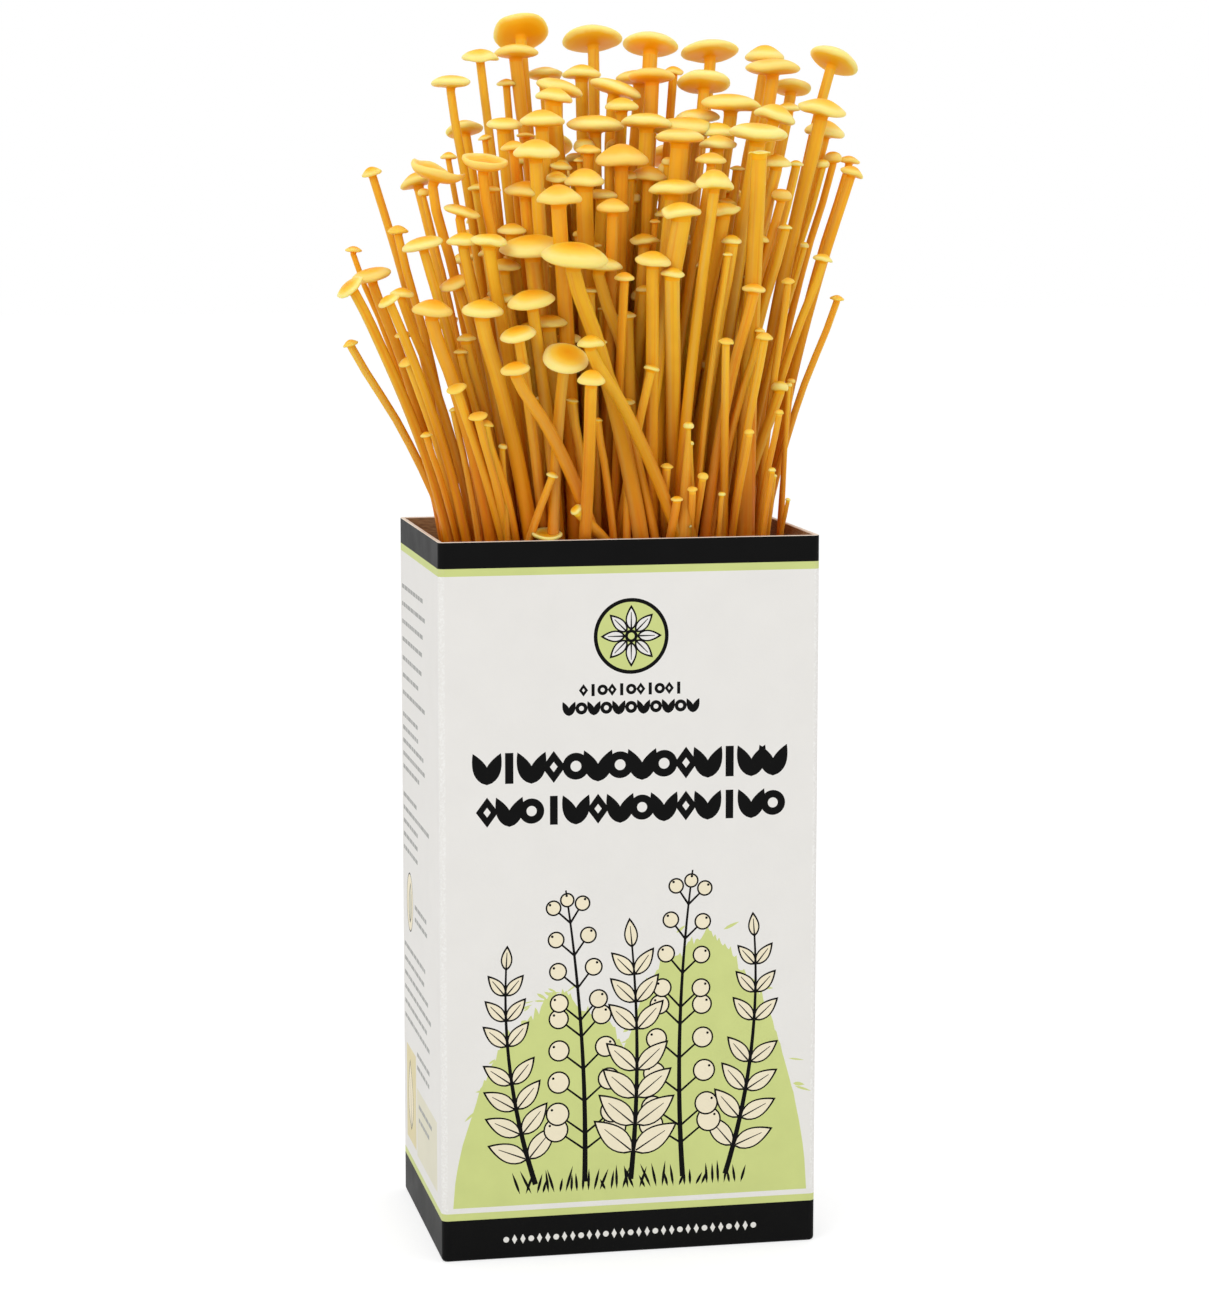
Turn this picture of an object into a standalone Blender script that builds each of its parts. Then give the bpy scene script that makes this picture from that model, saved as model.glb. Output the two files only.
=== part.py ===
"""Enoki grow kit: a printed carton, the bagged block of growing medium in it, and the clump.

Metres, +Z up. The origin is the middle of the carton's base, and the carton's front faces -Y.
Each mushroom is one closed skin, swept from its foot on the block up its stem and over its cap.
The young ones that share a foot are one tuft. Where each mushroom stands is chosen by hand in
the layout lists, in millimetres; settle() then lets crowded neighbours lean out of each other's
way, so that the clump still fits when the carton or a mushroom changes its size.
"""
import math
from collections import namedtuple

import bmesh
import bpy
import numpy as np
from mathutils import Vector

MM = 0.001

# Carton: corrugated board, folded and glued
CARTON_WIDTH = 0.122
CARTON_DEPTH = 0.085
CARTON_HEIGHT = 0.230
BOARD = 0.0015
BASE_PLIES = 2
FOLD_RADIUS = 0.0020
BASE_FOLD_RADIUS = 0.0012
FOLD_SEGMENTS = 3
BASE_FOLD_SEGMENTS = 2
GLUE_LAP_WIDTH = 0.014
SEAM_WIDTH = 0.0006
SEAM_DEPTH = 0.0006
LOCK_FLAP_REACH = 0.012
LOCK_TAB_HALF_WIDTH = 0.034
LOCK_TAB_SLOPE = 0.008

# Bagged block of growing medium
CLEARANCE = 0.0003
FILM = 0.0004
BAG_COLLAR = 0.005
HEADSPACE = 0.045
BLOCK_FOLD_RADIUS = 0.007
BLOCK_EDGE = 0.003

# Mushrooms
STEM_SIDES = 6
YOUNG_STEM_SIDES = 4
KNOTS = 7
YOUNG_KNOTS = 5
FOOT_FLARE = 1.15
STEM_BEND = 1.8
RIM_SHARE_X = 0.66
RIM_SHARE_Y = 0.72
TUFT_FOOT_SPREAD = 0.45

# How the clump settles
ROOM = 0.0007
SLICE = 0.003
SETTLE_ROUNDS = 160
SMOOTH_ROUNDS = 120
SIDEWAYS_GIVE = 0.45
SMOOTHING = 0.08
MOUTH_ROUNDNESS = 4.0
MOUTH_MARGIN = 0.0020

# Cap forms: each ring is (share of the cap's radius, height over the margin as a share of the
# cap's width), from the underside up, and the last number is the height of the crown
Form = namedtuple("Form", "neck under margin shoulder crown")
FLAT = Form(-0.20, (0.62, -0.08), (1.0, 0.0), (0.70, 0.14), 0.20)
DOME = Form(-0.20, (0.62, -0.09), (1.0, 0.0), (0.74, 0.20), 0.30)
BELL = Form(-0.22, (0.62, -0.10), (1.0, 0.0), (0.76, 0.29), 0.42)
CUP = Form(-0.24, (0.58, -0.10), (1.0, 0.06), (0.72, 0.10), 0.03)
BUD = Form(-0.34, (0.84, -0.17), (1.0, 0.0), (0.78, 0.27), 0.40)

# Layout in millimetres and degrees: the cap's middle (across, back, height over the rim), cap
# width, stem width, form, roll to the right, nod to the front, and where the stem crosses the
# rim if it leans its own way
Mushroom = namedtuple("Mushroom", "x y rise cap stem form roll nod rim_x", defaults=(None,))
BACK_ROW = [
    Mushroom(-19, 46, 159, 18.5, 4.0, FLAT, 4, -36),
    Mushroom(-36, 26, 151, 12.5, 3.0, DOME, -6, -2),
    Mushroom(-48, 10, 143, 13.0, 3.0, DOME, 0, 2),
    Mushroom(6, 44, 157, 20.0, 4.0, FLAT, 0, -20),
    Mushroom(-2, 28, 145, 13.0, 4.5, DOME, 0, -4),
    Mushroom(22, 38, 155, 18.5, 5.2, FLAT, 6, -18),
    Mushroom(43, 38, 153, 19.0, 4.0, FLAT, 0, -18),
    Mushroom(60, 20, 147, 18.0, 4.4, FLAT, 0, -4),
    Mushroom(83, 28, 150, 17.0, 3.6, FLAT, 26, -14),
    Mushroom(19, 17, 144, 15.0, 4.8, FLAT, 0, -8),
    Mushroom(37, 20, 142, 18.0, 4.0, FLAT, 4, -16),
    Mushroom(70, 34, 141, 13.5, 4.0, FLAT, 8, -14),
    Mushroom(-44, 40, 128, 15.0, 3.8, DOME, -8, -16),
    Mushroom(-62, 30, 112, 13.5, 3.6, DOME, -14, -12),
    Mushroom(-8, 54, 122, 16.0, 4.2, DOME, 0, -24),
    Mushroom(32, 53, 118, 15.0, 4.0, DOME, 4, -24),
    Mushroom(60, 46, 108, 14.0, 3.8, DOME, 14, -20),
    Mushroom(12, 52, 92, 13.0, 3.6, DOME, 0, -26),
]
MIDDLE_ROW = [
    Mushroom(-12, 15, 140, 15.5, 4.5, FLAT, 16, 2),
    Mushroom(-22, -9, 129, 14.5, 4.4, DOME, 0, 2),
    Mushroom(-2, 0, 128, 18.5, 4.2, FLAT, 0, 2),
    Mushroom(42, 2, 135, 19.0, 4.5, FLAT, 2, 2),
    Mushroom(70, -6, 133, 15.5, 4.5, DOME, 6, 4),
    Mushroom(53, -11, 131, 14.0, 4.4, DOME, 15, 2),
    Mushroom(11, -8, 129, 16.0, 5.0, FLAT, 0, 2),
    Mushroom(-57, -18, 113, 17.5, 3.4, CUP, 17, 4),
    Mushroom(-43, -24, 115, 14.5, 3.4, FLAT, 6, 6),
    Mushroom(-12, -28, 110, 12.0, 5.4, BELL, 0, 4),
    Mushroom(19, -25, 124, 15.5, 6.6, DOME, 0, 6),
    Mushroom(44, -26, 125, 18.5, 5.4, DOME, 4, 8),
    Mushroom(1, -22, 118, 16.5, 4.4, BELL, 0, 6),
    Mushroom(-76, -8, 113, 7.0, 2.8, BUD, -18, 6),
]
FRONT_ROW = [
    Mushroom(16, -38, 108, 15.5, 6.0, DOME, 0, 6),
    Mushroom(27, -41, 109, 12.0, 3.6, BELL, 2, 6),
    Mushroom(-32, -36, 107, 13.5, 4.4, DOME, 0, 6),
    Mushroom(79, -10, 113, 8.0, 3.2, DOME, 16, 4),
    Mushroom(-78, -18, 81, 13.0, 3.4, FLAT, -12, 4),
    Mushroom(-85, -26, 78, 10.0, 3.4, FLAT, -38, 10),
    Mushroom(-63, -28, 91, 13.0, 3.2, FLAT, -14, 4),
    Mushroom(-31, -38, 90, 21.0, 5.4, FLAT, -4, 8),
    Mushroom(-17, -47, 87, 20.5, 5.4, FLAT, 3, 14),
    Mushroom(6, -46, 86, 11.0, 4.2, DOME, 0, 8, 9),
    Mushroom(67, -20, 86, 6.5, 2.9, DOME, 4, 6, 44),
    Mushroom(40, -38, 77, 7.5, 3.6, DOME, 3, 8),
    Mushroom(-62, -41, 71, 13.0, 4.6, DOME, 4, 10),
    Mushroom(-45, -46, 71, 13.0, 5.0, DOME, 3, 10),
    Mushroom(-31, -50, 74, 14.5, 3.8, FLAT, -10, 12),
    Mushroom(-24, -55, 57, 14.5, 3.8, FLAT, 4, 36),
    Mushroom(-14, -52, 50, 8.5, 4.0, BELL, 2, 10, -16),
    Mushroom(-40, -51, 54, 10.0, 4.0, DOME, -10, 10, -13),
    Mushroom(-11, -46, 61, 9.5, 4.0, DOME, 0, 10, 18),
]
YOUNG_TUFTS = [
    [
        Mushroom(20, -42, 21, 4.5, 2.6, BUD, 4, 8, 23),
        Mushroom(15, -43, 15, 4.0, 2.4, BUD, -4, 8, 19),
        Mushroom(11, -41, 24, 4.5, 2.8, BUD, 0, 8, 14),
    ],
    [
        Mushroom(-54, -46, 48, 7.0, 3.0, FLAT, -18, 14, -41),
        Mushroom(-49, -47, 39, 6.0, 2.8, FLAT, -10, 10, -36),
        Mushroom(-43, -44, 33, 5.5, 2.6, DOME, 0, 6, -34),
    ],
    [
        Mushroom(30, -43, 61, 5.0, 2.6, DOME, 0, 8, 30),
        Mushroom(43, -40, 62, 5.5, 2.8, DOME, 4, 8, 38),
        Mushroom(36, -41, 33, 4.0, 2.4, BUD, 0, 6, 35),
    ],
    [
        Mushroom(-84, -14, 60, 5.5, 2.6, BUD, -20, 4, -53),
        Mushroom(-70, -28, 57, 6.5, 2.8, DOME, -14, 8, -50),
        Mushroom(-69, -16, 95, 6.5, 2.8, DOME, -4, 4, -48),
    ],
    [
        Mushroom(74, -12, 73, 5.0, 2.4, BUD, 8, 4, 50),
        Mushroom(56, -26, 80, 5.0, 2.6, DOME, 0, 4, 47),
        Mushroom(53, -30, 38, 4.0, 2.4, BUD, 4, 6, 46),
    ],
]

# Finishes: (colour, roughness)
BOARD_FINISH = ((0.80, 0.79, 0.76), 0.55)
FILM_FINISH = ((0.72, 0.74, 0.74), 0.30)
MEDIUM_FINISH = ((0.42, 0.29, 0.17), 0.90)
MUSHROOM_FINISH = ((0.90, 0.60, 0.16), 0.42)
YOUNG_FINISH = ((0.86, 0.50, 0.12), 0.45)

RIM = CARTON_HEIGHT
BASE = BASE_PLIES * BOARD
BED = CARTON_HEIGHT - HEADSPACE
BAG_WIDTH = CARTON_WIDTH - 2 * (BOARD + CLEARANCE)
BAG_DEPTH = CARTON_DEPTH - 3 * BOARD - 2 * CLEARANCE
BAG_Y = -BOARD / 2
BLOCK_WIDTH = BAG_WIDTH - 2 * (FILM + CLEARANCE)
BLOCK_DEPTH = BAG_DEPTH - 2 * (FILM + CLEARANCE)
GROUND = BED + CLEARANCE


def clear_scene():
    """Removes whatever the open file holds."""
    for thing in list(bpy.data.objects):
        bpy.data.objects.remove(thing, do_unlink=True)


def finish_of(name, finish):
    """Returns a plain Principled material."""
    colour, roughness = finish
    material = bpy.data.materials.new(name)
    material.use_nodes = True
    shader = material.node_tree.nodes["Principled BSDF"]
    shader.inputs["Base Color"].default_value = (*colour, 1.0)
    shader.inputs["Roughness"].default_value = roughness
    shader.inputs["Metallic"].default_value = 0.0
    return material


def object_from(name, bm, material, smooth=False):
    """Turns a bmesh into a named object of the scene."""
    bmesh.ops.recalc_face_normals(bm, faces=bm.faces[:])
    mesh = bpy.data.meshes.new(name)
    bm.to_mesh(mesh)
    bm.free()
    mesh.materials.append(material)
    if smooth:
        mesh.shade_smooth()
        mesh.set_sharp_from_angle(angle=math.radians(50))
    thing = bpy.data.objects.new(name, mesh)
    bpy.context.scene.collection.objects.link(thing)
    return thing


def guide_from(name, bm, material):
    """Turns a bmesh into a hidden tool for a Boolean."""
    guide = object_from(name, bm, material)
    guide.hide_render = True
    guide.display_type = "WIRE"
    return guide


def combine(target, tool, operation):
    """Adds an exact Boolean to the target."""
    step = target.modifiers.new(tool.name, "BOOLEAN")
    step.operation = operation
    step.solver = "EXACT"
    step.object = tool


def rounded_outline(width, depth, radius, segments):
    """Returns the points of a rectangle with round corners, anticlockwise, middle at zero."""
    points = []
    for corner in range(4):
        turn = corner * math.pi / 2
        side_x = (1, -1, -1, 1)[corner]
        side_y = (1, 1, -1, -1)[corner]
        centre = (side_x * (width / 2 - radius), side_y * (depth / 2 - radius))
        for step in range(segments + 1):
            angle = turn + step * math.pi / 2 / segments
            points.append((centre[0] + radius * math.cos(angle), centre[1] + radius * math.sin(angle)))
    return points


def add_loft(bm, levels, centre_y=0.0):
    """Adds a closed solid through outlines that all have the same number of points.

    Each level is (outline, height). The first and the last are filled.
    """
    rings = [[bm.verts.new((x, y + centre_y, z)) for x, y in outline] for outline, z in levels]
    count = len(rings[0])
    for low, high in zip(rings, rings[1:]):
        for i in range(count):
            j = (i + 1) % count
            bm.faces.new((low[i], low[j], high[j], high[i]))
    bm.faces.new(rings[0][::-1])
    bm.faces.new(rings[-1])


def add_box(bm, low, high):
    """Adds an upright box between two corners."""
    (x0, y0, z0), (x1, y1, z1) = low, high
    add_loft(bm, [([(x0, y0), (x1, y0), (x1, y1), (x0, y1)], z) for z in (z0, z1)])


def add_channel(bm, route, width, depth):
    """Adds the tool for a shallow groove along a route in the base's underside."""
    points = [Vector(point) for point in route]
    left, right = [], []
    for i, point in enumerate(points):
        before = (point - points[i - 1]).normalized() if i else (points[1] - point).normalized()
        after = (points[i + 1] - point).normalized() if i + 1 < len(points) else before
        normal = Vector((-(before + after).y, (before + after).x)).normalized()
        mitre = width / 2 / max(normal.dot(Vector((-before.y, before.x))), 0.5)
        left.append(point + normal * mitre)
        right.append(point - normal * mitre)
    outline = [(p.x, p.y) for p in right + left[::-1]]
    add_loft(bm, [(outline, -depth), (outline, depth)])


def build_carton():
    """The carton: four walls and a glue lap round a doubled base, open at the top."""
    material = finish_of("printed_board", BOARD_FINISH)
    bm = bmesh.new()
    levels = []
    for step in range(BASE_FOLD_SEGMENTS + 1):
        angle = math.pi / 2 * step / BASE_FOLD_SEGMENTS
        inset = BASE_FOLD_RADIUS * (1 - math.sin(angle))
        outline = rounded_outline(CARTON_WIDTH - 2 * inset, CARTON_DEPTH - 2 * inset,
                                  max(FOLD_RADIUS - inset, BOARD / 4), FOLD_SEGMENTS)
        levels.append((outline, BASE_FOLD_RADIUS * (1 - math.cos(angle))))
    levels.append((levels[-1][0], RIM))
    add_loft(bm, levels)
    carton = object_from("carton", bm, material)

    bm = bmesh.new()
    inner = rounded_outline(CARTON_WIDTH - 2 * BOARD, CARTON_DEPTH - 2 * BOARD,
                            max(FOLD_RADIUS - BOARD, BOARD / 4), 1)
    add_loft(bm, [(inner, BASE), (inner, RIM + BOARD)])
    combine(carton, guide_from("carton_hollow", bm, material), "DIFFERENCE")

    bm = bmesh.new()
    right = CARTON_WIDTH / 2 - BOARD
    back = CARTON_DEPTH / 2 - BOARD
    add_box(bm, (right - GLUE_LAP_WIDTH, back - BOARD, BASE / 2), (right + BOARD / 2, back + BOARD / 2, RIM))
    combine(carton, guide_from("glue_lap", bm, material), "UNION")

    bm = bmesh.new()
    seam_x = CARTON_WIDTH / 2 - FOLD_RADIUS
    face_y = CARTON_DEPTH / 2
    add_box(bm, (seam_x - SEAM_WIDTH, face_y - SEAM_DEPTH, BASE), (seam_x, face_y + BOARD, RIM + BOARD))
    combine(carton, guide_from("glue_seam", bm, material), "DIFFERENCE")
    combine(carton, base_seams(material), "DIFFERENCE")
    return carton


def base_seams(material):
    """The seams between the four flaps that lock the carton's base."""
    half_width = CARTON_WIDTH / 2 - BASE_FOLD_RADIUS - 2 * BOARD
    half_depth = CARTON_DEPTH / 2 - BASE_FOLD_RADIUS - 2 * BOARD
    reach = LOCK_FLAP_REACH
    tab = LOCK_TAB_HALF_WIDTH
    route = [(-half_width, -reach), (-tab - LOCK_TAB_SLOPE, -reach), (-tab, reach),
             (tab, reach), (tab + LOCK_TAB_SLOPE, -reach), (half_width, -reach)]
    bm = bmesh.new()
    add_channel(bm, route, SEAM_WIDTH, SEAM_DEPTH)
    for side in (-1, 1):
        add_channel(bm, [(side * (tab + 2 * LOCK_TAB_SLOPE), reach), (side * half_width, half_depth)],
                    SEAM_WIDTH, SEAM_DEPTH)
    return guide_from("base_seams", bm, material)


def build_bag():
    """The bag: thin film round the block's sides and base, cut open just over the block."""
    material = finish_of("clear_film", FILM_FINISH)
    floor = BASE + CLEARANCE
    top = BED + BAG_COLLAR
    radius = BLOCK_FOLD_RADIUS + CLEARANCE + FILM
    outer = rounded_outline(BAG_WIDTH, BAG_DEPTH, radius, FOLD_SEGMENTS)
    inner = rounded_outline(BAG_WIDTH - 2 * FILM, BAG_DEPTH - 2 * FILM, radius - FILM, FOLD_SEGMENTS)
    bm = bmesh.new()
    add_loft(bm, [(outer, floor), (outer, top)], BAG_Y)
    bag = object_from("grow_bag", bm, material)
    bm = bmesh.new()
    add_loft(bm, [(inner, floor + FILM), (inner, top + FILM)], BAG_Y)
    combine(bag, guide_from("bag_hollow", bm, material), "DIFFERENCE")
    return bag


def build_block():
    """The block of growing medium: a pressed brick with its top edge rounded over."""
    material = finish_of("growing_medium", MEDIUM_FINISH)
    floor = BASE + 2 * CLEARANCE + FILM
    body = rounded_outline(BLOCK_WIDTH, BLOCK_DEPTH, BLOCK_FOLD_RADIUS, FOLD_SEGMENTS)
    edge = rounded_outline(BLOCK_WIDTH - BLOCK_EDGE, BLOCK_DEPTH - BLOCK_EDGE,
                           BLOCK_FOLD_RADIUS - BLOCK_EDGE / 2, FOLD_SEGMENTS)
    bm = bmesh.new()
    add_loft(bm, [(body, floor), (body, BED - BLOCK_EDGE), (edge, BED)], BAG_Y)
    return object_from("substrate_block", bm, material)


def cap_axis(plant):
    """Returns the unit direction of a cap's crown, from its roll and nod."""
    across = math.sin(math.radians(plant.roll))
    forward = math.sin(math.radians(plant.nod))
    return Vector((across, -forward, math.sqrt(max(0.0, 1 - across ** 2 - forward ** 2))))


def cap_frame(axis):
    """Returns two unit directions square to the cap's axis, the first nearest to +X."""
    side = (Vector((1, 0, 0)) - axis * axis.x).normalized()
    return side, axis.cross(side)


def ring_points(centre, axis, radius, sides):
    """Returns points on a circle round an axis."""
    side, other = cap_frame(axis)
    angles = [2 * math.pi * i / sides for i in range(sides)]
    return [centre + (side * math.cos(a) + other * math.sin(a)) * radius for a in angles]


def cap_levels(plant):
    """Returns (radius, height over the margin) of a cap's rings in metres, and its crown's height."""
    width = plant.cap * MM
    form = plant.form
    rings = [(share * width / 2, rise * width) for share, rise in (form.under, form.margin, form.shoulder)]
    return rings, form.crown * width


def cap_samples(plant, sides=12, steps=4):
    """Returns points all over a cap's surface, with the cap's middle at zero."""
    axis = cap_axis(plant)
    rings, crown = cap_levels(plant)
    levels = [(plant.stem * MM / 2, plant.form.neck * plant.cap * MM), *rings, (0.0, crown)]
    points = []
    for (r0, z0), (r1, z1) in zip(levels, levels[1:]):
        for step in range(steps + 1):
            t = step / steps
            points += ring_points(axis * (z0 + (z1 - z0) * t), axis, r0 + (r1 - r0) * t, sides)
    return np.array(points)


def stem_radius(plant, share):
    """Returns a stem's radius at a share of its height: it flares over its lower half."""
    flare = 1 + (FOOT_FLARE - 1) * max(0.0, 1 - 2 * share)
    return plant.stem * MM / 2 * flare


def first_spine(plant, count):
    """Returns the knots of a stem that rises upright from its foot and leans more and more."""
    axis = cap_axis(plant)
    neck = -plant.form.neck * plant.cap * MM
    middle = Vector((plant.x * MM, plant.y * MM, RIM + plant.rise * MM))
    top = middle - axis * neck
    rim_x = plant.x * RIM_SHARE_X if plant.rim_x is None else plant.rim_x
    at_rim = ((RIM - GROUND) / (top.z - GROUND)) ** STEM_BEND
    foot_x = (rim_x * MM - at_rim * top.x) / (1 - at_rim)
    foot_y = (plant.y * RIM_SHARE_Y * MM - at_rim * top.y) / (1 - at_rim)
    knots = []
    for i in range(count):
        t = i / (count - 1)
        lean = t ** STEM_BEND
        knots.append((foot_x + (top.x - foot_x) * lean, foot_y + (top.y - foot_y) * lean,
                      GROUND + (top.z - GROUND) * t))
    return np.array(knots)


class Growth:
    """One mushroom while the clump settles: its knots and the disc it fills at each height."""

    def __init__(self, plant, family, heights):
        self.plant = plant
        self.family = family
        self.knots = first_spine(plant, YOUNG_KNOTS if family else KNOTS)
        self.start = self.knots[:, :2].copy()
        count, total = len(heights), len(self.knots)
        self.weights = np.zeros((count, total))
        self.offset = np.zeros((count, 2))
        self.radius = np.zeros(count)
        self.fill_stem(heights)
        self.fill_cap(heights)

    def fill_stem(self, heights):
        """Sets the discs of the stem, wider where it leans."""
        levels = self.knots[:, 2]
        for k, z in enumerate(heights):
            if levels[0] - SLICE / 2 <= z <= levels[-1]:
                low = int(np.clip(np.searchsorted(levels, z) - 1, 0, len(levels) - 2))
                t = float(np.clip((z - levels[low]) / (levels[low + 1] - levels[low]), 0, 1))
                self.weights[k, low] = 1 - t
                self.weights[k, low + 1] = t
                run = np.linalg.norm(self.start[low + 1] - self.start[low])
                slope = math.hypot(1.0, run / (levels[low + 1] - levels[low]))
                share = max(0.0, z - levels[0]) / (levels[-1] - levels[0])
                self.radius[k] = stem_radius(self.plant, share) * slope

    def fill_cap(self, heights):
        """Sets the discs of the cap, which moves as one with the top of the stem."""
        points = cap_samples(self.plant)
        axis = np.array(cap_axis(self.plant))
        rise = -self.plant.form.neck * self.plant.cap * MM
        points = points + axis * rise
        level = points[:, 2] + self.knots[-1, 2]
        for k, z in enumerate(heights):
            near = points[np.abs(level - z) <= SLICE * 0.75]
            if len(near):
                low, high = near[:, :2].min(axis=0), near[:, :2].max(axis=0)
                middle = (low + high) / 2
                self.offset[k] = middle
                self.radius[k] = np.linalg.norm(near[:, :2] - middle, axis=1).max()
                self.weights[k] = 0
                self.weights[k, -1] = 1


def push_apart(places, radii, families, give):
    """Returns how far discs at one height move to stop crowding each other."""
    gap = places[:, None, :] - places[None, :, :]
    distance = np.linalg.norm(gap, axis=2) + 1e-9
    want = radii[:, None] + radii[None, :] + ROOM
    short = np.clip(want - distance, 0, None)
    np.fill_diagonal(short, 0)
    same = (families[:, None] == families[None, :]) & (families[:, None] > 0)
    short[same] = 0
    direction = gap / distance[:, :, None] * give
    return (direction * short[:, :, None]).sum(axis=1) * 0.5


def push_inside(places, radii):
    """Returns how far discs below the rim move to stay within the rounded mouth of the bag."""
    half_x = BLOCK_WIDTH / 2 - MOUTH_MARGIN - radii
    half_y = BLOCK_DEPTH / 2 - MOUTH_MARGIN - radii
    local = places - (0, BAG_Y)
    out = (np.abs(local[:, 0] / half_x) ** MOUTH_ROUNDNESS
           + np.abs(local[:, 1] / half_y) ** MOUTH_ROUNDNESS) ** (1 / MOUTH_ROUNDNESS)
    return local / np.maximum(out, 1)[:, None] - local


def gather_feet(growths):
    """Brings the feet of each tuft together, so that its stems rise from one foot."""
    families = sorted({g.family for g in growths if g.family > 0})
    for family in families:
        members = [g for g in growths if g.family == family]
        middle = sum(g.knots[0, :2] for g in members) / len(members)
        for i, member in enumerate(members):
            turn = 2 * math.pi * i / len(members)
            reach = TUFT_FOOT_SPREAD * member.plant.stem * MM
            member.knots[0, :2] = middle + (reach * math.cos(turn), reach * math.sin(turn))


def settle(growths, heights):
    """Lets the mushrooms lean apart until none crowds another and all clear the carton."""
    families = np.array([g.family for g in growths])
    radii = np.array([g.radius for g in growths])
    give = np.array((SIDEWAYS_GIVE, 1.0))
    for turn in range(SETTLE_ROUNDS):
        places = np.array([g.weights @ g.knots[:, :2] + g.offset for g in growths])
        moves = np.zeros_like(places)
        for k, z in enumerate(heights):
            here = radii[:, k] > 0
            if here.sum() > 1:
                moves[here, k] = push_apart(places[here, k], radii[here, k], families[here], give)
            if z <= RIM + SLICE and here.any():
                moves[here, k] += push_inside(places[here, k] + moves[here, k], radii[here, k])
        for i, growth in enumerate(growths):
            active = np.abs(moves[i]).sum(axis=1) > 1e-7
            share = growth.weights[active].sum(axis=0)
            push = growth.weights[active].T @ moves[i, active] / np.maximum(share, 1)[:, None]
            growth.knots[:, :2] += push
            if turn < SMOOTH_ROUNDS:
                shift = growth.knots[:, :2] - growth.start
                bend = shift[:-2] + shift[2:] - 2 * shift[1:-1]
                growth.knots[1:-1, :2] += SMOOTHING * bend
        gather_feet(growths)


def grow_clump():
    """Returns the settled mushrooms, the single ones first and then tuft by tuft."""
    singles = BACK_ROW + MIDDLE_ROW + FRONT_ROW
    tallest = max(plant.rise + plant.cap for plant in singles)
    heights = np.arange(GROUND, RIM + tallest * MM, SLICE)
    growths = [Growth(plant, 0, heights) for plant in singles]
    for number, tuft in enumerate(YOUNG_TUFTS, start=1):
        growths += [Growth(plant, number, heights) for plant in tuft]
    settle(growths, heights)
    return growths


def add_mushroom(bm, growth, sides):
    """Adds one mushroom's skin: rings up the stem, then a cap with twice as many sides."""
    plant = growth.plant
    knots = [Vector(knot) for knot in growth.knots]
    axis = cap_axis(plant)
    rings = []
    for i, knot in enumerate(knots):
        ahead = knots[min(i + 1, len(knots) - 1)] - knots[max(i - 1, 0)]
        tangent = Vector((0, 0, 1)) if i == 0 else ahead.normalized()
        if i == len(knots) - 1:
            tangent = (tangent + 2 * axis).normalized()
        ring = ring_points(knot, tangent, stem_radius(plant, i / (len(knots) - 1)), sides)
        rings.append([bm.verts.new(point) for point in ring])
    bm.faces.new(rings[0][::-1])
    for low, high in zip(rings, rings[1:]):
        for i in range(sides):
            j = (i + 1) % sides
            bm.faces.new((low[i], low[j], high[j], high[i]))

    middle = knots[-1] - axis * plant.form.neck * plant.cap * MM
    levels, crown = cap_levels(plant)
    cap = []
    for radius, rise in levels:
        ring = ring_points(middle + axis * rise, axis, radius, 2 * sides)
        cap.append([bm.verts.new(point) for point in ring])
    stem_top, under = rings[-1], cap[0]
    for i in range(sides):
        j = (i + 1) % sides
        a, b, c = under[2 * i], under[2 * i + 1], under[2 * j]
        bm.faces.new((stem_top[i], b, a))
        bm.faces.new((stem_top[i], stem_top[j], b))
        bm.faces.new((stem_top[j], c, b))
    for low, high in zip(cap, cap[1:]):
        for i in range(2 * sides):
            j = (i + 1) % (2 * sides)
            bm.faces.new((low[i], low[j], high[j], high[i]))
    top = bm.verts.new(middle + axis * crown)
    for i in range(2 * sides):
        bm.faces.new((cap[-1][i], cap[-1][(i + 1) % (2 * sides)], top))


def build_mushrooms(growths):
    """One object for each single mushroom, and one for each tuft of young ones."""
    material = finish_of("mushroom", MUSHROOM_FINISH)
    young = finish_of("young_mushroom", YOUNG_FINISH)
    number = 0
    for growth in growths:
        if growth.family == 0:
            number += 1
            bm = bmesh.new()
            add_mushroom(bm, growth, STEM_SIDES)
            object_from(f"mushroom_{number:02d}", bm, material, smooth=True)
    for family in range(1, len(YOUNG_TUFTS) + 1):
        members = [g for g in growths if g.family == family]
        tuft = None
        for i, growth in enumerate(members):
            bm = bmesh.new()
            add_mushroom(bm, growth, YOUNG_STEM_SIDES)
            if tuft is None:
                tuft = object_from(f"young_tuft_{family}", bm, young)
            else:
                combine(tuft, guide_from(f"young_tuft_{family}_stem_{i}", bm, young), "UNION")


def main():
    """Builds the kit."""
    clear_scene()
    build_carton()
    build_bag()
    build_block()
    build_mushrooms(grow_clump())


main()
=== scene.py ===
"""Looks of the enoki grow kit: a printed carton with golden enoki growing out of its open top.

Metres, +Z up. The carton stands on z = 0 and its front faces -Y. The layout lists are in
millimetres and degrees, because they read as a plan of the clump.
"""
import logging
import math
import random
from dataclasses import dataclass, field
from enum import Enum
from functools import cached_property

import bmesh
import bpy
import numpy as np
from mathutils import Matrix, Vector
from mathutils.geometry import delaunay_2d_cdt


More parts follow.
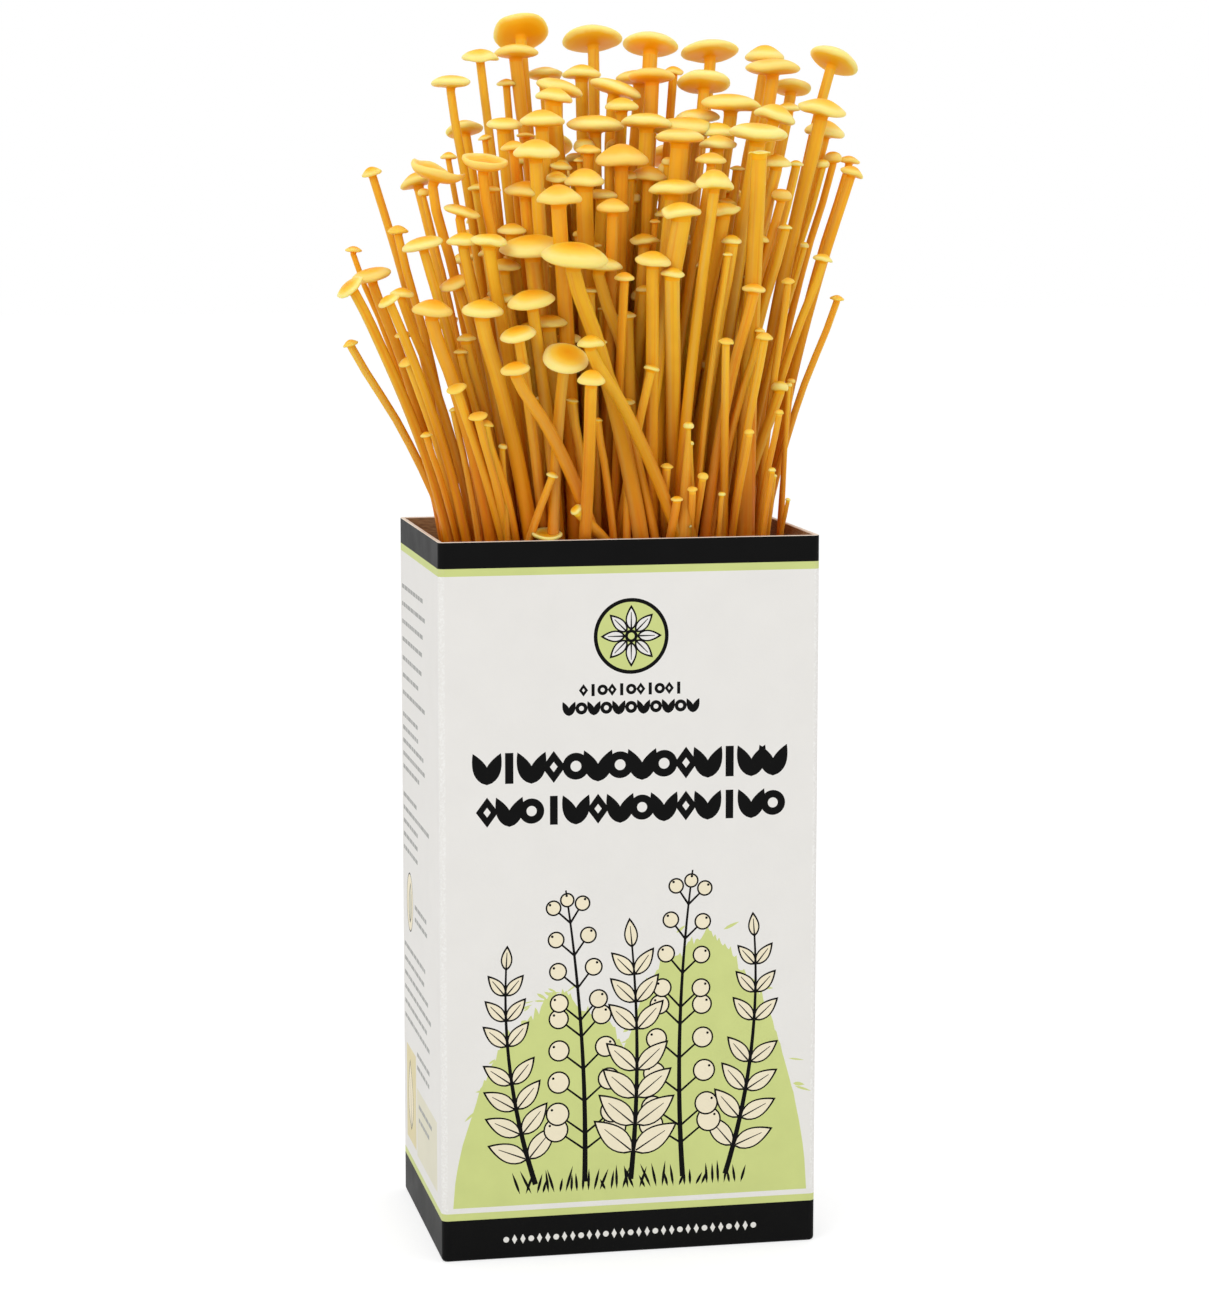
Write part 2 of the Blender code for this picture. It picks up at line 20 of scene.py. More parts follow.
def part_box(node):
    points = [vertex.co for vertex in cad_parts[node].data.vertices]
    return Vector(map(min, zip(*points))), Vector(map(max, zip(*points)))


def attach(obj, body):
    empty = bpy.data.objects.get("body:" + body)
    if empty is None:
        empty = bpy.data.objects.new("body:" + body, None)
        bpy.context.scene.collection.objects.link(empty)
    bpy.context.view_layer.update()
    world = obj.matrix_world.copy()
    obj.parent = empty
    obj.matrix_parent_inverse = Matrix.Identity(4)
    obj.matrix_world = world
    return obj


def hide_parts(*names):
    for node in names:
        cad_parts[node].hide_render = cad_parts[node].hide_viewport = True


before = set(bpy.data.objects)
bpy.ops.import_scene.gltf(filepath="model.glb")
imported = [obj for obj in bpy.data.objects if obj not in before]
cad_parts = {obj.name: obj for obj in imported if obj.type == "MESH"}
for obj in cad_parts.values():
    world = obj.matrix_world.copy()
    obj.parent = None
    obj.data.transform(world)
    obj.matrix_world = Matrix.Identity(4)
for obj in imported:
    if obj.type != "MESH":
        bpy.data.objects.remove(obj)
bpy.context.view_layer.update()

MM = 0.001
WELD = 1e-6
BODY = "root"
Point = tuple[float, float]
Outline = list[Point]
Colour = tuple[int, int, int]
Socket = bpy.types.NodeSocket
Draft = bmesh.types.BMesh

log = logging.getLogger("enoki_kit")


def linear(colour: Colour) -> tuple[float, float, float, float]:
    """Turns an 8-bit screen colour into the linear colour that a shader takes.

    Args:
        colour: red, green and blue from 0 to 255.

    Returns:
        Linear red, green, blue and an alpha of 1.
    """
    shares = [value / 255 for value in colour]
    return (*[s / 12.92 if s <= 0.04045 else ((s + 0.055) / 1.055) ** 2.4 for s in shares], 1.0)


def smooth_through(points: np.ndarray, count: int, start: np.ndarray | None = None,
                   end: np.ndarray | None = None) -> np.ndarray:
    """Samples a smooth curve that passes through every given point.

    Args:
        points: the points to pass through, one a row, in two or three dimensions.
        count: how many samples to return.
        start: the direction at the first point, or None for the first chord's.
        end: the direction at the last point, or None for the last chord's.

    Returns:
        The samples, evenly spread over the square roots of the chords.
    """
    points = np.asarray(points, float)
    chords = np.linalg.norm(np.diff(points, axis=0), axis=1)
    knots = np.concatenate([[0.0], np.cumsum(np.sqrt(chords))])
    spans = np.diff(knots)
    slopes = np.diff(points, axis=0) / spans[:, None]
    tangents = np.empty_like(points)
    weight = (spans[:-1] / (spans[:-1] + spans[1:]))[:, None]
    tangents[1:-1] = slopes[:-1] * (1 - weight) + slopes[1:] * weight
    tangents[0] = slopes[0] if start is None else np.asarray(start) * np.linalg.norm(slopes[0])
    tangents[-1] = slopes[-1] if end is None else np.asarray(end) * np.linalg.norm(slopes[-1])
    at = np.linspace(0, knots[-1], count)
    low = np.clip(np.searchsorted(knots, at, side="right") - 1, 0, len(spans) - 1)
    width = spans[low][:, None]
    t = (at - knots[low])[:, None] / width
    rise = t * t * (3 - 2 * t)
    lead = t * (1 - t) ** 2 * width
    trail = t * t * (t - 1) * width
    return (points[low] * (1 - rise) + points[low + 1] * rise
            + tangents[low] * lead + tangents[low + 1] * trail)


class Graph:
    """A node tree being filled, with short ways to make nodes and join sockets."""

    def __init__(self, tree: bpy.types.NodeTree) -> None:
        """Keeps the tree that the nodes go into."""
        self.tree = tree

    def node(self, kind: str, inputs: dict | None = None, **settings: object) -> bpy.types.Node:
        """Makes a node.

        Args:
            kind: the node's type name.
            inputs: a value or an output socket for each input, by name or number.
            **settings: properties of the node.

        Returns:
            The new node.
        """
        node = self.tree.nodes.new(kind)
        for name, value in settings.items():
            setattr(node, name, value)
        for key, value in (inputs or {}).items():
            self.feed(node.inputs[key], value)
        return node

    def feed(self, socket: Socket, value: object) -> None:
        """Links an output socket to an input, or sets the input's own value.

        Args:
            socket: the input socket.
            value: an output socket or a plain value.
        """
        if isinstance(value, Socket):
            self.tree.links.new(value, socket)
        else:
            socket.default_value = value

    def math(self, operation: str, *values: object, clamp: bool = False) -> Socket:
        """Adds a Math node and returns its result."""
        node = self.node("ShaderNodeMath", dict(enumerate(values)), operation=operation, use_clamp=clamp)
        return node.outputs[0]

    def vector(self, operation: str, *values: object) -> Socket:
        """Adds a Vector Math node on vectors and returns its vector."""
        node = self.node("ShaderNodeVectorMath", dict(enumerate(values)), operation=operation)
        return node.outputs[0]

    def scaled(self, vector: object, factor: object) -> Socket:
        """Returns a vector times a number."""
        return self.node("ShaderNodeVectorMath", {0: vector, "Scale": factor}, operation="SCALE").outputs[0]

    def remap(self, value: object, low: float, high: float, to_low: object = 0.0,
              to_high: object = 1.0) -> Socket:
        """Maps a range onto another and holds the ends.

        Args:
            value: the socket to map.
            low: where the range starts.
            high: where the range ends.
            to_low: the result at its start.
            to_high: the result at its end.

        Returns:
            The mapped value.
        """
        inputs = {"Value": value, "From Min": low, "From Max": high, "To Min": to_low, "To Max": to_high}
        return self.node("ShaderNodeMapRange", inputs).outputs[0]

    def blend(self, factor: object, first: object, second: object, mode: str = "MIX") -> Socket:
        """Mixes two colours.

        Args:
            factor: the second colour's share.
            first: the first colour.
            second: the second colour.
            mode: the way they mix.

        Returns:
            The mixed colour.
        """
        node = self.node("ShaderNodeMix", {0: factor, 6: first, 7: second}, data_type="RGBA", blend_type=mode)
        return node.outputs[2]

    def ramp(self, value: object, stops: list[tuple[float, Colour]]) -> Socket:
        """Colours a value by stops.

        Args:
            value: a value from 0 to 1.
            stops: (place, screen colour) in rising order.

        Returns:
            The colour.
        """
        node = self.node("ShaderNodeValToRGB", {0: value})
        ramp = node.color_ramp
        while len(ramp.elements) < len(stops):
            ramp.elements.new(0.5)
        for element, (place, _) in zip(ramp.elements, stops):
            element.position = place
        for element, (_, colour) in zip(ramp.elements, stops):
            element.color = linear(colour)
        return node.outputs[0]

    def attribute(self, name: str, output: str = "Fac") -> Socket:
        """Reads an attribute of the mesh in a material."""
        return self.node("ShaderNodeAttribute", attribute_name=name).outputs[output]

    def seen(self) -> Socket:
        """Tells which rays show the background.

        Returns:
            1 for rays from the camera, from a mirror or through glass, and 0 for the rest.
        """
        path = self.node("ShaderNodeLightPath").outputs
        glossy = self.math("MAXIMUM", path["Is Glossy Ray"], path["Is Transmission Ray"])
        return self.math("MAXIMUM", path["Is Camera Ray"], glossy)


class Effects:
    """Shader node groups that more than one finish uses: noise mapped onto a range.

    Each has the inputs Vector, its sizes, Low and High, and the outputs Value and Height, which
    is the noise itself.
    """

    def __init__(self) -> None:
        """Builds soft blotches, and streaks that run along Z."""
        self.mottle = self._group("mottle", {"Scale": 50}, 4.0, (0.28, 0.72))
        self.fibres = self._group("fibres", {"Across": 4, "Along": 1}, 3.0, (0.3, 0.7))

    @staticmethod
    def _group(name: str, sizes: dict[str, float], detail: float, ends: Point) -> bpy.types.NodeTree:
        """Builds a group.

        Args:
            name: its name.
            sizes: its inputs for size, which are one scale, or one across and one along.
            detail: how fine the noise is.
            ends: the noise that gives Low and the noise that gives High.

        Returns:
            The group.
        """
        tree = bpy.data.node_groups.new(name, "ShaderNodeTree")
        tree.interface.new_socket("Vector", in_out="INPUT", socket_type="NodeSocketVector")
        for label, value in {**sizes, "Low": 0, "High": 1}.items():
            socket = tree.interface.new_socket(label, in_out="INPUT", socket_type="NodeSocketFloat")
            socket.default_value = value
        for label in ("Value", "Height"):
            tree.interface.new_socket(label, in_out="OUTPUT", socket_type="NodeSocketFloat")
        graph = Graph(tree)
        start, end = graph.node("NodeGroupInput").outputs, graph.node("NodeGroupOutput").inputs
        place, scale = start["Vector"], start.get("Scale", 1.0)
        if "Across" in sizes:
            stretch = {0: start["Across"], 1: start["Across"], 2: start["Along"]}
            place = graph.vector("MULTIPLY", place, graph.node("ShaderNodeCombineXYZ", stretch).outputs[0])
        inputs = {"Vector": place, "Scale": scale, "Detail": detail}
        noise = graph.node("ShaderNodeTexNoise", inputs).outputs[0]
        graph.feed(end["Value"], graph.remap(noise, *ends, start["Low"], start["High"]))
        graph.feed(end["Height"], noise)
        return tree


class Paint:
    """A material being made, with its graph and its Principled shader."""

    def __init__(self, name: str, effects: Effects) -> None:
        """Starts the material.

        Args:
            name: its name.
            effects: the shared node groups.
        """
        self.effects = effects
        self.material = bpy.data.materials.new(name)
        self.material.use_nodes = True
        self.graph = Graph(self.material.node_tree)
        self.shader = self.material.node_tree.nodes["Principled BSDF"]

    @cached_property
    def place(self) -> Socket:
        return self.graph.node("ShaderNodeTexCoord").outputs["Object"]

    def show(self, values: dict[str, object]) -> None:
        """Feeds the shader's sockets by name."""
        for name, value in values.items():
            self.graph.feed(self.shader.inputs[name], value)

    def blotches(self, scale: float, low: float = 0.0, high: float = 1.0) -> Socket:
        """Returns soft blotches between two values."""
        inputs = {"Vector": self.place, "Scale": scale, "Low": low, "High": high}
        return self.graph.node("ShaderNodeGroup", inputs, node_tree=self.effects.mottle).outputs[0]

    def streaks(self, place: Socket, across: float, along: float, low: float = 0.0,
                high: float = 1.0) -> bpy.types.Node:
        """Returns the group that makes streaks between two values."""
        inputs = {"Vector": place, "Across": across, "Along": along, "Low": low, "High": high}
        return self.graph.node("ShaderNodeGroup", inputs, node_tree=self.effects.fibres)

    def noise(self, scale: float, detail: float) -> Socket:
        """Returns noise from 0 to 1."""
        inputs = {"Vector": self.place, "Scale": scale, "Detail": detail}
        return self.graph.node("ShaderNodeTexNoise", inputs).outputs[0]

    def relief(self, height: Socket, depth: float) -> None:
        """Gives the surface a relief of a depth in metres, from a height of 0 to 1."""
        bump = self.graph.node("ShaderNodeBump", {"Height": height, "Distance": depth, "Strength": 1.0})
        self.show({"Normal": bump.outputs[0]})


class Finish:
    """Shared part of every finish: it has a name, and its own dress method."""

    def material(self, effects: Effects) -> bpy.types.Material:
        """Builds the finish's material.

        Args:
            effects: the shared node groups.

        Returns:
            The material.
        """
        paint = Paint(self.name, effects)
        self.dress(paint)
        return paint.material


@dataclass(frozen=True)
class InkFinish(Finish):
    """One ink on the carton's coated board, or the uncoated board itself."""

    name: str
    colour: Colour
    roughness: float
    shift: float = 0.03
    wear_and_highlight: float = 0.35
    grain: float = 0.00002
    shine: float = 0.06
    bare_and_highlight: Colour = (214, 200, 182)

    def dress(self, paint: Paint) -> None:
        """Adds slight blotches, paper grain, and ink worn off along the folds; on the white paper the folds
        are painted paler instead, a painted highlight.

        Args:
            paint: the material being made.
        """
        graph = paint.graph
        base = linear(self.colour)
        dark = (*[c * (1 - self.shift) for c in base[:3]], 1.0)
        light = (*[c * (1 + self.shift) for c in base[:3]], 1.0)
        colour = graph.blend(paint.blotches(90.0), dark, light)
        # Folds and cut edges fade towards the board's own tone where ink is worn away; on the white paper
        # that tone is paler than the paper, which paints a highlight along the folds.
        speck = paint.blotches(1400.0, -0.6, 1.0)
        rubbed_and_lit = graph.math("MULTIPLY", graph.attribute("crease"), speck, clamp=True)
        colour = graph.blend(graph.math("MULTIPLY", rubbed_and_lit, self.wear_and_highlight), colour, linear(self.bare_and_highlight))
        rough = paint.blotches(60.0, self.roughness - 0.05, self.roughness + 0.05)
        paint.show({"Base Color": colour, "Roughness": rough, "Specular IOR Level": self.shine})
        paint.relief(paint.noise(1800.0, 3.0), self.grain)


@dataclass(frozen=True)
class KraftFinish(Finish):
    """The carton's uncoated inside: brown fibre with darker and paler strands."""

    name: str = "kraft_inside"
    dark: Colour = (142, 104, 70)
    light: Colour = (188, 150, 108)
    fuzz: float = 0.00006

    def dress(self, paint: Paint) -> None:
        """Adds the strands.

        Args:
            paint: the material being made.
        """
        fibre = paint.streaks(paint.place, 500.0, 2600.0)
        strands = paint.graph.blend(fibre.outputs[0], linear(self.dark), linear(self.light))
        paint.show({"Base Color": strands, "Roughness": paint.blotches(200.0, 0.78, 0.92)})
        paint.relief(fibre.outputs[1], self.fuzz)


@dataclass(frozen=True)
class FilmFinish(Finish):
    """The grow bag's clear film, slightly hazed by damp."""

    name: str = "clear_film"
    dull: Colour = (226, 230, 226)
    clear: Colour = (244, 246, 243)
    creases: float = 0.0004

    def dress(self, paint: Paint) -> None:
        """Adds haze and fine creases.

        Args:
            paint: the material being made.
        """
        paint.show({"Transmission Weight": 0.9, "IOR": 1.45, "Roughness": paint.blotches(140.0, 0.12, 0.42)})
        tone = paint.graph.blend(paint.blotches(70.0), linear(self.dull), linear(self.clear))
        paint.show({"Base Color": tone})
        paint.relief(paint.noise(220.0, 4.0), self.creases)


@dataclass(frozen=True)
class MediumFinish(Finish):
    """Pressed damp sawdust, knitted together by white threads."""

    name: str = "growing_medium"
    bark: Colour = (96, 64, 38)
    chip: Colour = (168, 124, 80)
    thread: Colour = (232, 222, 200)
    coarseness: float = 0.0004

    def dress(self, paint: Paint) -> None:
        """Adds chips of wood and the threads between them.

        Args:
            paint: the material being made.
        """
        graph = paint.graph
        chips = graph.node("ShaderNodeTexVoronoi", {"Vector": paint.place, "Scale": 620.0})
        wood = graph.blend(chips.outputs["Color"], linear(self.bark), linear(self.chip))
        knit = graph.math("MULTIPLY", paint.blotches(95.0, -0.5, 1.2), 0.85, clamp=True)
        paint.show({"Base Color": graph.blend(knit, wood, linear(self.thread)),
                    "Roughness": paint.blotches(300.0, 0.7, 0.95)})
        paint.relief(chips.outputs["Distance"], self.coarseness)


@dataclass(frozen=True)
class FleshFinish(Finish):
    """Moist mushroom flesh: a pale rim on an orange-gold cap, and a golden stem with pale streaks.

    The skin carries these attributes: zone (0 foot, 1 neck, 2 margin, 3 crown), tint (0 to 1 for
    each mushroom), ring (the direction round the stem) and reach (metres up the stem).
    """

    name: str
    zones: list[tuple[float, Colour]]
    ground: float
    rim: float
    pale: Colour = (222, 186, 98)
    amber: Colour = (242, 170, 60)
    shade_tone: Colour = (234, 152, 40)
    bloom: Colour = (255, 226, 150)
    roughness: float = 0.45
    shine: float = 0.16
    glow: float = 0.58
    depth: float = 0.0028
    relief: float = 0.00006
    shadow: float = 0.05

    def dress(self, paint: Paint) -> None:
        """Adds the zones from foot to crown, the stem's streaks, each mushroom's own tint, and painted shade
        on the stems low in the carton.

        Args:
            paint: the material being made.
        """
        graph = paint.graph
        zone = graph.attribute("zone")
        tint = graph.attribute("tint")
        where = graph.math("ADD", zone, paint.blotches(110.0, -0.06, 0.06))
        colour = graph.ramp(graph.math("DIVIDE", where, 3.0), self.zones)
        lift = graph.node("ShaderNodeCombineXYZ", {2: graph.attribute("reach")}).outputs[0]
        along = graph.vector("ADD", graph.vector("ADD", graph.attribute("ring", "Vector"), lift),
                             graph.scaled((31.0, 17.0, 7.0), tint))
        on_stem = graph.remap(zone, 0.95, 1.15, 1.0, 0.0)

        light = paint.streaks(along, 1.1, 9.0, -0.35, 0.6).outputs[0]
        colour = graph.blend(graph.math("MULTIPLY", light, on_stem, clamp=True), colour, linear(self.pale))
        dark = paint.streaks(graph.scaled(along, -1.0), 1.9, 14.0, -0.5, 0.45).outputs[0]
        colour = graph.blend(graph.math("MULTIPLY", dark, on_stem, clamp=True), colour,
                             linear(self.amber), "MULTIPLY")
        varied = graph.ramp(tint, [(0.0, (255, 232, 196)), (0.4, (255, 250, 238)), (0.75, (255, 255, 255)),
                                   (1.0, (248, 246, 226))])
        colour = graph.blend(1.0, colour, varied, "MULTIPLY")
        # Painted shade: the stems darken from the ground up to a little over the rim, where the clump and the
        # carton shade them.
        height = graph.node("ShaderNodeSeparateXYZ", {0: paint.place}).outputs[2]
        low = graph.remap(height, self.ground, self.rim + self.shadow, 1.0, 0.0)
        colour = graph.blend(graph.math("MULTIPLY", low, on_stem), colour, linear(self.shade_tone), "MULTIPLY")

        moist = paint.blotches(160.0, self.roughness - 0.08, self.roughness + 0.08)
        paint.show({"Base Color": colour, "Roughness": moist, "Specular IOR Level": self.shine,
                    "Subsurface Weight": self.glow, "Subsurface Radius": (1.0, 0.66, 0.25),
                    "Subsurface Scale": self.depth, "Sheen Weight": 0.02, "Sheen Roughness": 0.35,
                    "Sheen Tint": linear(self.bloom)})
        fine = paint.streaks(along, 5.0, 40.0).outputs[1]
        paint.relief(graph.math("MULTIPLY", fine, graph.remap(on_stem, 0.0, 1.0, 0.15, 1.0)), self.relief)


@dataclass(frozen=True)
class SweepFinish(Finish):
    name: str = "sweep_paper"
    paper: float = 0.80
    seen_paper: float = 0.42
    seen_glow: float = 0.668

    def dress(self, paint: Paint) -> None:
        """Args:
            paint: the material being made.
        """
        graph = paint.graph
        seen = graph.seen()
        tone = graph.remap(seen, 0.0, 1.0, self.paper, self.seen_paper)
        grey = graph.node("ShaderNodeCombineXYZ", {0: tone, 1: tone, 2: tone}).outputs[0]
        paint.show({"Base Color": grey, "Roughness": 0.9, "Specular IOR Level": 0.0,
                    "Emission Color": (1.0, 1.0, 1.0, 1.0),
                    "Emission Strength": graph.math("MULTIPLY", seen, self.seen_glow)})


class Ink(Enum):
    """What each region of the carton's blank shows, in the order of its material slots."""

    # The white paper fades to a paler white along its folds and cut edges: a painted highlight.
    PAPER = InkFinish("paper_white", (233, 231, 227), 0.48, shift=0.012, wear_and_highlight=0.6, bare_and_highlight=(252, 252, 250))
    LIME = InkFinish("ink_lime", (205, 214, 138), 0.46)
    BLACK = InkFinish("ink_black", (15, 15, 15), 0.45, shift=0.10, wear_and_highlight=0.0, shine=0.05)
    CREAM = InkFinish("ink_cream", (240, 230, 202), 0.47)
    GREY = InkFinish("ink_grey", (166, 166, 163), 0.48)
    BEIGE = InkFinish("ink_beige", (226, 222, 200), 0.48)
    SAND = InkFinish("ink_sand", (226, 214, 170), 0.48)
    EDGE = InkFinish("board_edge", (238, 226, 212), 0.75, shift=0.05, wear_and_highlight=0.0, grain=0.00004)
    KRAFT = KraftFinish()

    @property
    def slot(self) -> int:
        """Returns its place among the carton's material slots."""
        return list(Ink).index(self)


def placed(name: str, data: bpy.types.ID) -> bpy.types.Object:
    """Puts data into the scene.

    Args:
        name: the object's name.
        data: what it shows.

    Returns:
        The new object.
    """
    thing = bpy.data.objects.new(name, data)
    bpy.context.scene.collection.objects.link(thing)
    return thing


def mesh_of(bm: Draft, name: str) -> bpy.types.Mesh:
    """Finishes a mesh in progress.

    Args:
        bm: the mesh in progress, which is freed.
        name: the mesh's name.

    Returns:
        The mesh.
    """
    mesh = bpy.data.meshes.new(name)
    bm.to_mesh(mesh)
    bm.free()
    return mesh


def add_piece(name: str, mesh: bpy.types.Mesh, replaces: tuple[str, ...]) -> None:
    """Args:
        name: the piece's name.
        mesh: its mesh, in place.
        replaces: the CAD nodes that it stands for.
    """
    piece = placed(name, mesh)
    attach(piece, BODY)
    if replaces:
        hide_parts(*replaces)
    log.info("%s: %d faces", name, len(mesh.polygons))


def ahead(root: Point, angle: float, reach: float) -> Point:
    """Returns the point that lies a distance away in a direction."""
    return root[0] + math.cos(angle) * reach, root[1] + math.sin(angle) * reach


class Motif:
    """Outlines of the print's generic motifs, flat on a panel."""

    @staticmethod
    def disc(centre: Point, radius: float, points: int = 36) -> Outline:
        """Returns a circle."""
        return [ahead(centre, 2 * math.pi * i / points, radius) for i in range(points)]

    @staticmethod
    def bar(low: Point, high: Point) -> Outline:
        """Returns an upright rectangle between two corners."""
        return [low, (high[0], low[1]), high, (low[0], high[1])]

    @staticmethod
    def lozenge(centre: Point, width: float, height: float) -> Outline:
        """Returns a lozenge that stands on its point."""
        x, z = centre
        return [(x - width / 2, z), (x, z - height / 2), (x + width / 2, z), (x, z + height / 2)]

    @staticmethod
    def leaf(root: Point, angle: float, length: float, width: float, points: int = 9) -> Outline:
        """Draws a leaf that is widest below its middle and ends in a point.

        Args:
            root: where it starts.
            angle: its direction in radians, from the panel's right.
            length: its length.
            width: its greatest width.
            points: how many points each side has.

        Returns:
            The outline.
        """
        along = (math.cos(angle), math.sin(angle))
        sides = []
        for side in (-1, 1):
            edge = []
            for i in range(points + 1):
                t = i / points
                half = side * width / 2 * math.sin(math.pi * t ** 0.8) ** 0.9
                edge.append((root[0] + along[0] * t * length - along[1] * half,
                             root[1] + along[1] * t * length + along[0] * half))
            sides.append(edge)
        return sides[0][:-1] + sides[1][:0:-1]

    @staticmethod
    def strip(path: Outline, start: float, end: float) -> Outline:
        """Draws a line that tapers.

        Args:
            path: its points.
            start: its width at the first point.
            end: its width at the last point.

        Returns:
            The outline.
        """
        left, right = [], []
        for i, (x, z) in enumerate(path):
            before, after = path[max(i - 1, 0)], path[min(i + 1, len(path) - 1)]
            run = Vector((after[0] - before[0], after[1] - before[1])).normalized()
            half = (start + (end - start) * i / (len(path) - 1)) / 2
            left.append((x - run.y * half, z + run.x * half))
            right.append((x + run.y * half, z - run.x * half))
        return right + left[::-1]


@dataclass
class Artwork:
    """Generic print for the carton: hills, leafy sprigs, a rosette and plain friezes.

    Shapes are (panel, ink, outline), and later ones cover earlier ones. All is in millimetres,
    across from the panel's middle and up from the carton's base.
    """

    line: float = 0.55
    panel: str = "front"
    shapes: list[tuple[str, Ink, Outline]] = field(default_factory=list)

    def put(self, ink: Ink, outline: Outline) -> None:
        """Adds one shape to the panel in hand."""
        self.shapes.append((self.panel, ink, outline))

    def hill(self, left: float, right: float, top: float, seed: int, foot: float = 17.5) -> None:
        """Adds a rolling hill with a dry-brushed edge.

        Args:
            left: where it starts.
            right: where it ends.
            top: the height of its crest.
            seed: fixes the edge's unevenness.
            foot: the height of its foot.
        """
        draw = random.Random(seed)
        steps = 110

        def crest(t: float) -> float:
            """Returns the hill's height at a share of its length."""
            return foot + (top - foot) * math.sin(math.pi * t) ** 0.6

        outline = [(left, foot), (right, foot)]
        for i in range(steps - 1, 0, -1):
            t = i / steps
            rough = draw.uniform(-1, 1) ** 3 * 2.4 + math.sin(t * 23 + seed) * 1.6 + math.sin(t * 61) * 0.7
            swell = min(1.0, 4 * min(t, 1 - t))
            outline.append((left + (right - left) * t, crest(t) + rough * swell))
        self.put(Ink.LIME, outline)
        for _ in range(16):
            t = draw.uniform(0.05, 0.95)
            root = (left + (right - left) * t, crest(t) + draw.uniform(1.5, 5.5))
            self.put(Ink.LIME, Motif.leaf(root, draw.uniform(-0.6, 0.9), draw.uniform(1.5, 6),
                                          draw.uniform(0.4, 1.3), 4))

    def outlined(self, shape: Outline, inner: Outline, fill: Ink) -> None:
        """Adds a black shape with a filled one on it."""
        self.put(Ink.BLACK, shape)
        self.put(fill, inner)

    def ring(self, centre: Point, radii: Point, corners: tuple[int, int], fill: Ink) -> None:
        """Adds a black disc with a filled one on it."""
        self.outlined(*(Motif.disc(centre, *disc) for disc in zip(radii, corners)), fill)

    def leaf(self, root: Point, angle: float, length: float, fill: Ink = Ink.CREAM) -> None:
        """Adds a filled leaf with a black outline and a midrib.

        Args:
            root: where it starts.
            angle: its direction in radians.
            length: its length.
            fill: its colour.
        """
        width = length * 0.46
        inner = ahead(root, angle, self.line * 1.4)
        self.outlined(Motif.leaf(root, angle, length, width),
                      Motif.leaf(inner, angle, length - self.line * 3.4, width - self.line * 1.8), fill)
        rib = [ahead(root, angle, length * t) for t in (0.06, 0.4, 0.72)]
        self.put(Ink.BLACK, Motif.strip(rib, self.line, self.line * 0.4))

    def sprig(self, root: Point, tip: Point, bow: float, pairs: int,
              size: float, berries: bool) -> None:
        """Adds a stem with pairs of leaves or berries, and one at its tip.

        Args:
            root: where it grows.
            tip: where it ends.
            bow: how far its middle bends to the right.
            pairs: how many pairs it bears.
            size: the longest leaf, or three times the largest berry's radius.
            berries: whether it bears berries.
        """
        steps = 18
        path = []
        for i in range(steps + 1):
            t = i / steps
            bend = bow * 2 * t * (1 - t)
            path.append((root[0] + (tip[0] - root[0]) * t + bend, root[1] + (tip[1] - root[1]) * t))
        self.put(Ink.BLACK, Motif.strip(path, self.line * 3.2, self.line))
        for pair in range(pairs + 1):
            t = 0.12 + 0.88 * pair / pairs
            i = min(int(t * steps), steps - 1)
            (x0, z0), (x1, z1) = path[i], path[i + 1]
            heading = math.atan2(z1 - z0, x1 - x0)
            length = size * (1 - 0.45 * t)
            for side in ((-1, 1) if pair < pairs else (0,)):
                angle = heading + side * math.radians(56 - 18 * t)
                if not berries:
                    self.leaf((x0, z0), angle, length)
                    continue
                end = ahead((x0, z0), angle, length * (0.95 if side else 0.3))
                self.put(Ink.BLACK, Motif.strip([(x0, z0), end], self.line * 1.3, self.line))
                self.ring(end, (length / 3, length / 3 - self.line), (22, 22), Ink.CREAM)
                self.put(Ink.BLACK, Motif.disc(ahead(end, angle, length * 0.2), self.line * 0.8, 8))

    def rosette(self, centre: Point, radius: float, petals: int = 8) -> None:
        """Adds the round ornament: a ringed disc with petals.

        Args:
            centre: its middle.
            radius: its outer radius.
            petals: how many petals it has.
        """
        self.ring(centre, (radius, radius * 0.90), (56, 56), Ink.LIME)
        for i in range(petals):
            angle = math.pi / 2 + 2 * math.pi * i / petals
            self.leaf(ahead(centre, angle, radius * 0.14), angle, radius * 0.68, Ink.PAPER)
        self.ring(centre, (radius * 0.17, radius * 0.09), (24, 20), Ink.LIME)

    def frieze(self, z: float, half: float, size: float, pattern: str) -> None:
        """Adds a row of bold motifs.

        Args:
            z: the height of its middle.
            half: half its length.
            size: the motifs' height.
            pattern: the motifs in turn: o a ring, v a leaf pair, x a lozenge, i a bar.
        """
        pitch = 2 * half / len(pattern)
        for i, kind in enumerate(pattern):
            x = -half + pitch * (i + 0.5)
            if kind == "o":
                self.ring((x, z), (size * 0.42, size * 0.17), (28, 20), Ink.PAPER)
            elif kind == "v":
                for side in (-1, 1):
                    self.put(Ink.BLACK, Motif.leaf((x, z - size * 0.5), math.radians(90 - side * 24),
                                                   size * 1.08, size * 0.46))
            elif kind == "x":
                inner = Motif.lozenge((x, z), size * 0.24, size * 0.32)
                self.outlined(Motif.lozenge((x, z), size * 0.74, size), inner, Ink.PAPER)
            else:
                across, up = size * 0.13, size * 0.48
                self.put(Ink.BLACK, Motif.bar((x - across, z - up), (x + across, z + up)))

